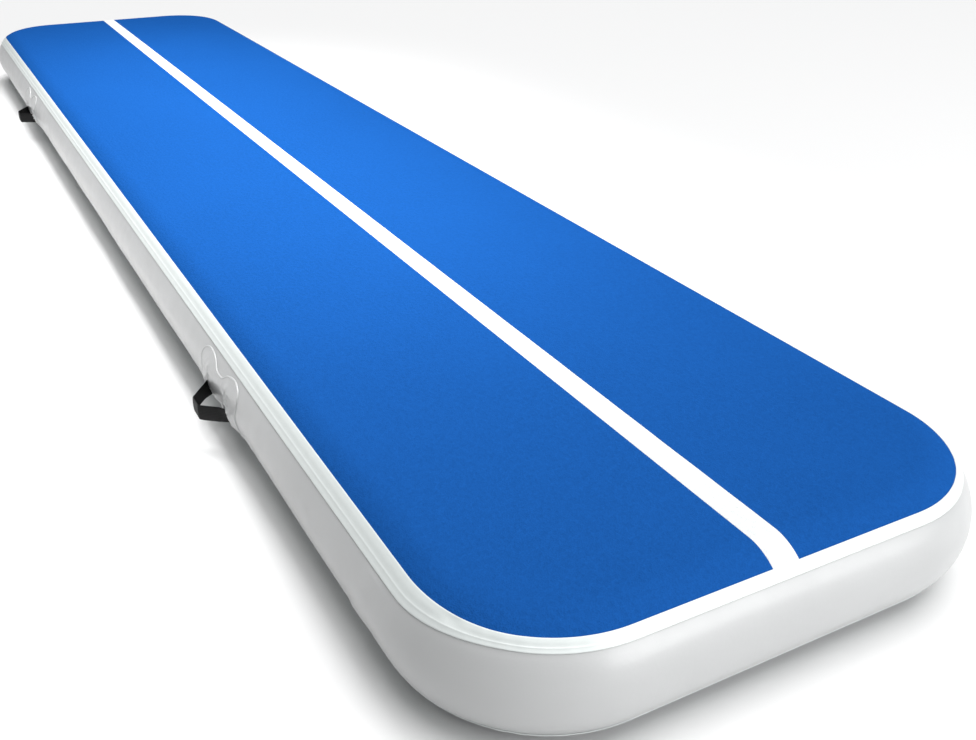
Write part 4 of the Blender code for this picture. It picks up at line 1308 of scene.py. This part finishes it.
def build_plunger(paint):
    """Stem with its plate and seal, the push button and the spring."""
    corners = [
        (0.0, STEM_HIGH), (STEM_RADIUS, STEM_HIGH), (STEM_RADIUS, SEAT_LOW),
        (STEM_RADIUS, PLATE_HIGH), (PLATE_RADIUS, PLATE_HIGH), (PLATE_RADIUS, PLATE_LOW),
        (0.0, PLATE_LOW),
    ]
    stem = lathe("valve_stem_turned", axis_profile(corners, 0.0004), paint["valve"])
    adopt(stem, "valve_plunger", "valve_plastic", "valve_stem")
    inside = STEM_RADIUS + GAP
    profile = band_profile(inside, PLATE_RADIUS, WASHER_HIGH, WASHER_LOW, 0.0005)
    seal = lathe("valve_seal_washer", profile, paint["rubber"])
    adopt(seal, "valve_plunger", "seal_rubber", "valve_seal")
    corners = [
        (0.0, BUTTON_HIGH), (BUTTON_RADIUS, BUTTON_HIGH), (BUTTON_RADIUS, BUTTON_LOW),
        (inside, BUTTON_LOW), (inside, BUTTON_INSIDE), (0.0, BUTTON_INSIDE),
    ]

    def knurled(turn, radius, out):
        return scallop(turn, 30, 0.00025, 3) if radius > BUTTON_RADIUS - 0.0004 else 0.0

    knob = lathe("knob", axis_profile(corners, 0.0005), paint["button"], knurled, 120)
    grip = centred_block("grip", GRIP_HALF, GRIP_LOW, GRIP_HIGH, paint["button"])
    button = joined("valve_push_button", [knob, grip], paint["button"])
    adopt(button, "valve_knob", "button_plastic", "valve_button")
    build_spring(paint)


def build_spring(paint):
    """Round wire wound into a coil with two flat closed ends."""
    low_box, high_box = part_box("valve_spring")
    start, end = low_box.y - VALVE_Y + WIRE_RADIUS, high_box.y - VALVE_Y - WIRE_RADIUS
    count = int(COIL_TURNS * WIRE_STEPS)
    points = []
    for step in range(count + 1):
        turn = math.tau * step / WIRE_STEPS
        share = ease(np.array(step / count), 0.08, 0.92)
        share = 0.5 * float(share) + 0.5 * min(1.0, max(0.0, (step / count - 0.1) / 0.8))
        out = start + (end - start) * share
        for k in range(WIRE_SIDES):
            spin = math.tau * k / WIRE_SIDES
            wide = COIL_RADIUS + WIRE_RADIUS * math.cos(spin)
            points.append(on_valve(wide * math.cos(turn), wide * math.sin(turn),
                                   out + WIRE_RADIUS * math.sin(spin)))
    spring = moulded("valve_return_spring", points, tube_faces(count + 1, WIRE_SIDES),
                     paint["steel"], 40.0)
    adopt(spring, "mat", "spring_steel", "valve_spring")
    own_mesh(spring)


def build_tether(paint):
    """The ring round the collar with its arm and hinge post, and the band that holds the cap."""
    strap = paint["strap"]
    ring = lathe("ring", band_profile(COLLAR_RADIUS + 0.0004, TETHER_RADIUS, TETHER_LOW,
                                      TETHER_HIGH, 0.0005), strap)
    arm = blocky("arm", [-ARM_HALF, ARM_START, TETHER_LOW], [ARM_HALF, ARM_END, TETHER_HIGH], strap)
    post = blocky("post", [-ARM_HALF, POST_START, POST_LOW], [ARM_HALF, ARM_END, POST_HIGH], strap)
    tether = joined("tether_ring_with_arm", [ring, arm, post], strap)
    adopt(tether, "tether_ring", "tether_rubber", "valve_tether")
    eye = lathe("eye", band_profile(EYE_INSIDE, EYE_RADIUS, EYE_LOW, EYE_HIGH, 0.0005), strap)
    lug = blocky("lug", [-BAND_HALF, BAND_START, EYE_LOW], [BAND_HALF, BAND_END, EYE_HIGH], strap)
    band = joined("cap_strap_with_eye", [eye, lug], strap)
    adopt(band, "cap_strap", "tether_rubber", "valve_strap")


def build_cap(paint):
    """The knurled cap with its plug and wing, and the ring in the plug's groove."""
    corners = [
        (0.0, CAP_HIGH), (CAP_RADIUS, CAP_HIGH), (CAP_RADIUS, CAP_LOW), (NECK_RADIUS, CAP_LOW),
        (NECK_RADIUS, PLUG_HIGH), (PLUG_RADIUS, PLUG_HIGH), (PLUG_RADIUS, GROOVE_HIGH),
        (GROOVE_RADIUS, GROOVE_HIGH), (GROOVE_RADIUS, GROOVE_LOW), (PLUG_RADIUS, GROOVE_LOW),
        (PLUG_RADIUS - 0.0004, PLUG_LOW), (0.0, PLUG_LOW),
    ]

    def knurled(turn, radius, out):
        return scallop(turn, 36, 0.0006, 2) if radius > CAP_RADIUS - 0.0007 else 0.0

    disc = lathe("disc", axis_profile(corners, 0.0005), paint["valve"], knurled, 216)
    wing = centred_block("wing", WING_HALF, WING_LOW, WING_HIGH, paint["valve"], 0.0008)
    cap = joined("valve_screw_cap", [disc, wing], paint["valve"])
    adopt(cap, "cap", "valve_plastic", "valve_cap")
    circle = [(RING_RADIUS + RING_THICK[0] * math.cos(t), RING_OUT + RING_THICK[1] * math.sin(t))
              for t in np.linspace(0, math.tau, 12, endpoint=False)]
    adopt(lathe("cap_o_ring", circle, paint["rubber"]), "cap", "seal_rubber", "valve_cap_seal")


# ---------------------------------------------------------------- finishes

class Finish:
    """A node material under construction, with short ways to add nodes."""

    def __init__(self, name, colour, roughness, **sockets):
        self.material = bpy.data.materials.new(name)
        self.material.use_nodes = True
        self.tree = self.material.node_tree
        self.shader = next(n for n in self.tree.nodes if n.type == "BSDF_PRINCIPLED")
        self.shader.inputs["Base Color"].default_value = (*colour, 1.0)
        self.shader.inputs["Roughness"].default_value = roughness
        for label, value in sockets.items():
            self.shader.inputs[label.replace("_", " ")].default_value = value
        self.material.diffuse_color = (*colour, 1.0)

    def node(self, kind, links=None, **settings):
        made = self.tree.nodes.new(kind)
        for key, value in settings.items():
            setattr(made, key, value)
        for key, value in (links or {}).items():
            self.feed(made.inputs[key], value)
        return made

    def feed(self, socket, value):
        if isinstance(value, bpy.types.NodeSocket):
            self.tree.links.new(value, socket)
        else:
            socket.default_value = value

    def coordinate(self, kind, scale=(1, 1, 1)):
        source = self.node("ShaderNodeTexCoord").outputs[kind]
        return self.node("ShaderNodeMapping", {"Vector": source, "Scale": scale}).outputs["Vector"]

    def noise(self, vector, scale, detail=2.0, rough=0.5):
        made = self.node("ShaderNodeTexNoise", {"Vector": vector, "Scale": scale, "Detail": detail,
                                                "Roughness": rough})
        return made.outputs["Fac"]

    def cells(self, vector, scale, feature="F1", random=1.0):
        made = self.node("ShaderNodeTexVoronoi", {"Vector": vector, "Scale": scale,
                                                  "Randomness": random}, feature=feature)
        return made.outputs["Distance"]

    def wave(self, vector, scale, direction="X", distortion=0.0):
        made = self.node("ShaderNodeTexWave", {"Vector": vector, "Scale": scale,
                                               "Distortion": distortion},
                         wave_type="BANDS", bands_direction=direction)
        return made.outputs["Fac"]

    def maths(self, operation, first, second=0.0):
        made = self.node("ShaderNodeMath", operation=operation)
        self.feed(made.inputs[0], first)
        self.feed(made.inputs[1], second)
        return made.outputs[0]

    def spread(self, value, low, high, to_low, to_high):
        made = self.node("ShaderNodeMapRange", {"Value": value, "From Min": low, "From Max": high,
                                                "To Min": to_low, "To Max": to_high})
        return made.outputs["Result"]

    def blend(self, share, first, second):
        made = self.node("ShaderNodeMix", data_type="RGBA")
        self.feed(made.inputs[0], share)
        self.feed(made.inputs[6], (*first, 1.0) if isinstance(first, tuple) else first)
        self.feed(made.inputs[7], (*second, 1.0) if isinstance(second, tuple) else second)
        return made.outputs[2]

    def colour(self, socket):
        self.feed(self.shader.inputs["Base Color"], socket)

    def roughness(self, socket):
        self.feed(self.shader.inputs["Roughness"], socket)

    def bump(self, *layers):
        """Stacks bump layers, each (height, depth in metres, strength)."""
        normal = None
        for height, depth, strength in layers:
            links = {"Height": height, "Distance": depth, "Strength": strength}
            if normal is not None:
                links["Normal"] = normal
            normal = self.node("ShaderNodeBump", links).outputs["Normal"]
        self.feed(self.shader.inputs["Normal"], normal)


def tinted(colour, share):
    """A colour made lighter or darker."""
    return tuple(min(1.0, c * share) for c in colour)


EMBOSS_SHINE = 0.0


def finish_embossed(name, colour, gloss):
    """Coated fabric with a fine pebbled emboss over shallow dimples where yarns pull it in; the dimples'
    hollows carry painted shade.
    """
    made = Finish(name, colour, gloss, Specular_IOR_Level=EMBOSS_SHINE)
    place = made.coordinate("Object")
    dimple = made.cells(place, 125, "SMOOTH_F1", 0.7)
    grain = made.noise(place, 900, 2.0, 0.6)
    pebble = made.cells(place, 420, "F1", 1.0)
    cloud = made.noise(place, 3.2, 3.0)
    scuff = made.noise(place, 38, 4.0, 0.65)
    speck = made.maths("ADD", made.maths("MULTIPLY", grain, 0.6), made.maths("MULTIPLY", pebble, 0.5))
    shade = made.blend(made.spread(speck, 0.25, 0.85, 0.0, 1.0), tinted(colour, 0.86), tinted(colour, 1.14))
    # Painted shade: the colour is darkened in the hollows of the dimples.
    shade = made.blend(made.spread(dimple, 0.15, 0.6, 0.30, 0.0), shade, tinted(colour, 0.70))
    shade = made.blend(made.spread(cloud, 0.35, 0.70, 0.0, 0.25), shade, tinted(colour, 1.10))
    made.colour(shade)
    made.roughness(made.spread(scuff, 0.3, 0.7, gloss - 0.05, gloss + 0.07))
    made.bump((dimple, 0.0016, 0.5), (pebble, 0.0007, 0.6), (grain, 0.0003, 0.5))
    return made.material


def finish_wall(name, colour, gloss):
    """Glossy coated wall: the scrim's square threads show faintly through the coat."""
    made = Finish(name, colour, gloss, Specular_IOR_Level=0.5, Coat_Weight=0.25, Coat_Roughness=0.22)
    place = made.coordinate("UV")
    warp = made.wave(place, 210, "X", 0.4)
    weft = made.wave(place, 210, "Y", 0.4)
    scrim = made.maths("ADD", warp, weft)
    orange = made.noise(place, 160, 2.0)
    cloud = made.noise(place, 4.5, 3.0)
    smear = made.noise(place, 24, 4.0, 0.6)
    shade = made.blend(made.spread(cloud, 0.3, 0.7, 0.0, 1.0), tinted(colour, 0.97), tinted(colour, 1.03))
    made.colour(shade)
    made.roughness(made.spread(smear, 0.3, 0.7, gloss - 0.04, gloss + 0.08))
    made.bump((scrim, 0.0002, 0.12), (orange, 0.0006, 0.15), (cloud, 0.006, 0.10))
    return made.material


def finish_tape(name, colour, gloss):
    """Glossy coated tape with fine threads and soft puckers across it."""
    made = Finish(name, colour, gloss, Specular_IOR_Level=0.5, Coat_Weight=0.3, Coat_Roughness=0.2)
    place = made.coordinate("UV")
    warp = made.wave(place, 260, "X", 0.2)
    weft = made.wave(place, 260, "Y", 0.2)
    pucker = made.noise(made.coordinate("UV", (60, 8, 1)), 1.0, 2.0)
    smear = made.noise(place, 30, 4.0, 0.6)
    made.colour(made.blend(made.spread(smear, 0.35, 0.75, 0.0, 1.0), colour, tinted(colour, 0.95)))
    made.roughness(made.spread(smear, 0.3, 0.7, gloss - 0.04, gloss + 0.08))
    made.bump((made.maths("ADD", warp, weft), 0.00015, 0.12), (pucker, 0.0012, 0.18))
    return made.material


def finish_cloth(name, colour):
    """Plain woven polyester."""
    made = Finish(name, colour, 0.85)
    place = made.coordinate("Object")
    weave = made.maths("MULTIPLY", made.wave(place, 320, "X"), made.wave(place, 320, "Y"))
    made.colour(made.blend(weave, tinted(colour, 0.8), colour))
    made.bump((weave, 0.0004, 0.4))
    return made.material


def finish_webbing(name, colour):
    """Woven polypropylene: ribs along the strap, twill across them and a few loose fibres."""
    made = Finish(name, colour, 0.60, Specular_IOR_Level=0.22)
    place = made.coordinate("UV")
    chevron = made.coordinate("UV", (1, 0.55, 1))
    ribs = made.wave(place, 92, "Y")
    picks = made.wave(chevron, 190, "DIAGONAL", 0.6)
    fuzz = made.noise(place, 900, 3.0, 0.7)
    worn = made.noise(place, 45, 4.0, 0.6)
    weave = made.maths("MULTIPLY", ribs, picks)
    shade = made.blend(weave, tinted(colour, 0.6), tinted(colour, 1.5))
    made.colour(made.blend(made.spread(worn, 0.45, 0.8, 0.0, 0.35), shade, tinted(colour, 2.2)))
    made.bump((weave, 0.0007, 0.7), (fuzz, 0.0003, 0.3))
    return made.material


def finish_plastic(name, colour, gloss):
    """Moulded plastic with a fine spark-eroded grain and faint rubbed places."""
    made = Finish(name, colour, gloss, Specular_IOR_Level=0.5)
    place = made.coordinate("Object")
    grain = made.noise(place, 2600, 2.0, 0.6)
    rubbed = made.noise(place, 120, 4.0, 0.6)
    made.colour(made.blend(made.spread(rubbed, 0.4, 0.8, 0.0, 1.0), colour, tinted(colour, 1.25)))
    made.roughness(made.spread(rubbed, 0.3, 0.7, gloss - 0.08, gloss + 0.08))
    made.bump((grain, 0.0001, 0.25))
    return made.material


def finish_rubber(name, colour):
    """Matt rubber with a faint bloom."""
    made = Finish(name, colour, 0.68, Specular_IOR_Level=0.35)
    place = made.coordinate("Object")
    grain = made.noise(place, 1400, 3.0, 0.6)
    bloom = made.noise(place, 90, 4.0, 0.6)
    made.colour(made.blend(made.spread(bloom, 0.45, 0.8, 0.0, 0.5), colour, tinted(colour, 2.4)))
    made.bump((grain, 0.0002, 0.35))
    return made.material


def finish_steel(name, colour):
    """Drawn spring wire."""
    made = Finish(name, colour, 0.28, Metallic=1.0)
    place = made.coordinate("Object")
    drawn = made.noise(made.coordinate("Object", (1, 1, 6)), 900, 2.0)
    made.roughness(made.spread(drawn, 0.3, 0.7, 0.22, 0.4))
    made.colour(made.blend(made.noise(place, 400), tinted(colour, 0.9), colour))
    made.bump((drawn, 0.00005, 0.3))
    return made.material


BLUE = (0.0086, 0.0740, 0.288)
STRIPE_WHITE = (0.68, 0.70, 0.70)
TAPE_WHITE = (0.68, 0.72, 0.71)
WALL_WHITE = (0.475, 0.482, 0.484)
BASE_GREY = (0.30, 0.31, 0.32)
YARN_WHITE = (0.62, 0.61, 0.58)
WEBBING_BLACK = (0.0050, 0.0050, 0.0056)
VALVE_GREY = (0.060, 0.062, 0.066)
VALVE_BLACK = (0.012, 0.012, 0.013)
RUBBER_BLACK = (0.010, 0.010, 0.010)
SPRING_STEEL = (0.55, 0.56, 0.58)


def paints():
    return {
        "blue": finish_embossed("embossed_blue", BLUE, 0.56),
        "stripe": finish_embossed("embossed_white", STRIPE_WHITE, 0.52),
        "base": finish_embossed("embossed_grey", BASE_GREY, 0.60),
        "tape": finish_tape("rail_tape_coat", TAPE_WHITE, 0.34),
        "wall": finish_wall("wall_coat", WALL_WHITE, 0.36),
        "inner": finish_wall("inner_wall_coat", tinted(WALL_WHITE, 0.9), 0.45),
        "patch": finish_wall("patch_coat", tinted(WALL_WHITE, 1.02), 0.34),
        "cloth": finish_cloth("polyester_yarn", YARN_WHITE),
        "webbing": finish_webbing("black_webbing", WEBBING_BLACK),
        "valve": finish_plastic("grey_valve_plastic", VALVE_GREY, 0.40),
        "button": finish_plastic("black_button_plastic", VALVE_BLACK, 0.34),
        "strap": finish_rubber("tether_rubber_grain", VALVE_BLACK),
        "rubber": finish_rubber("seal_rubber_grain", RUBBER_BLACK),
        "steel": finish_steel("drawn_spring_steel", SPRING_STEEL),
    }


# ---------------------------------------------------------------- studio

FLOOR_GAP = 0.0005
FLOOR_REACH = 60.0
SKY_COLOUR = (0.97, 0.985, 1.0, 1.0)
SKY_STRENGTH = 0.22
FLOOR_WHITE = 0.77
LENS = 39.44
CAMERA_AT = Vector((-0.9017, -3.0587, 1.0776))
CAMERA_TO = Vector((0.0783, -1.2713, 0.0))
CAMERA_ROLL = 0.0063389


def lay_floor():
    """A wide pale floor just under the mat."""
    material = Finish("pale_floor", (FLOOR_WHITE,) * 3, 0.85).material
    mesh = bpy.data.meshes.new("floor")
    corners = [(x * FLOOR_REACH, y * FLOOR_REACH, -FLOOR_GAP)
               for x, y in ((-1, -1), (1, -1), (1, 1), (-1, 1))]
    mesh.from_pydata(corners, [], [(0, 1, 2, 3)])
    mesh.materials.append(material)
    placed("floor", mesh)


def hang(name, light, place, way):
    """Puts a light in the studio, turned to look one way."""
    lamp = placed(name, light)
    lamp.location = place
    lamp.rotation_euler = Vector(way).to_track_quat("-Z", "Y").to_euler()
    return lamp


def softbox(name, place, target, wide, tall, power, spread=180):
    """A rectangular lamp that the camera doesn't see; spread is in degrees."""
    light = bpy.data.lights.new(name, "AREA")
    light.shape = "RECTANGLE"
    light.size, light.size_y, light.energy = wide, tall, power
    light.spread = math.radians(spread)
    lamp = hang(name, light, place, Vector(target) - Vector(place))
    lamp.visible_camera = False


def soft_sky(name, way, strength, angle):
    """A wide even light from above that reaches the whole floor."""
    light = bpy.data.lights.new(name, "SUN")
    light.energy, light.angle = strength, math.radians(angle)
    lamp = hang(name, light, (0.0, 0.0, 6.0), way)


def light_studio():
    """Even light from above, a soft lamp in front and a strip over the middle of the mat."""
    world = bpy.data.worlds.new("studio")
    world.use_nodes = True
    back = next(n for n in world.node_tree.nodes if n.type == "BACKGROUND")
    back.inputs["Color"].default_value = SKY_COLOUR
    back.inputs["Strength"].default_value = SKY_STRENGTH
    bpy.context.scene.world = world
    soft_sky("overhead_light", (-0.20, 0.0, -1.0), 3.1, 55)
    softbox("front_softbox", (2.0, -6.4, 1.8), (0.0, -2.0, 0.0), 3.5, 2.4, 170)
    softbox("strip_softbox", (-0.05, 0.15, 2.1), (-0.05, 0.15, 0.0), 0.7, 3.2, 24, 75)


def place_camera():
    """The camera fitted to the mat's edges in the photograph."""
    camera = bpy.data.cameras.new("photo_camera")
    camera.lens = LENS
    camera.sensor_width = 36.0
    camera.clip_start = 0.01
    camera.clip_end = 200.0
    eye = placed("photo_camera", camera)
    back = (CAMERA_AT - CAMERA_TO).normalized()
    right = Vector((0, 0, 1)).cross(back).normalized()
    up = back.cross(right)
    tilt_c, tilt_s = math.cos(CAMERA_ROLL), math.sin(CAMERA_ROLL)
    axis_x = right * tilt_c + up * tilt_s
    axis_y = right * -tilt_s + up * tilt_c
    turned = Matrix((axis_x, axis_y, back)).transposed().to_4x4()
    eye.matrix_world = Matrix.Translation(CAMERA_AT) @ turned
    bpy.context.scene.camera = eye
    bpy.context.scene.view_settings.view_transform = "Standard"


# ---------------------------------------------------------------- assembly

PAINT = paints()
build_skins(PAINT)
build_core(PAINT)
build_handles(PAINT)
build_valve_housing(PAINT)
build_valve_trim(PAINT)
build_valve_patch(PAINT)
build_plunger(PAINT)
build_tether(PAINT)
build_cap(PAINT)
lay_floor()
light_studio()
place_camera()
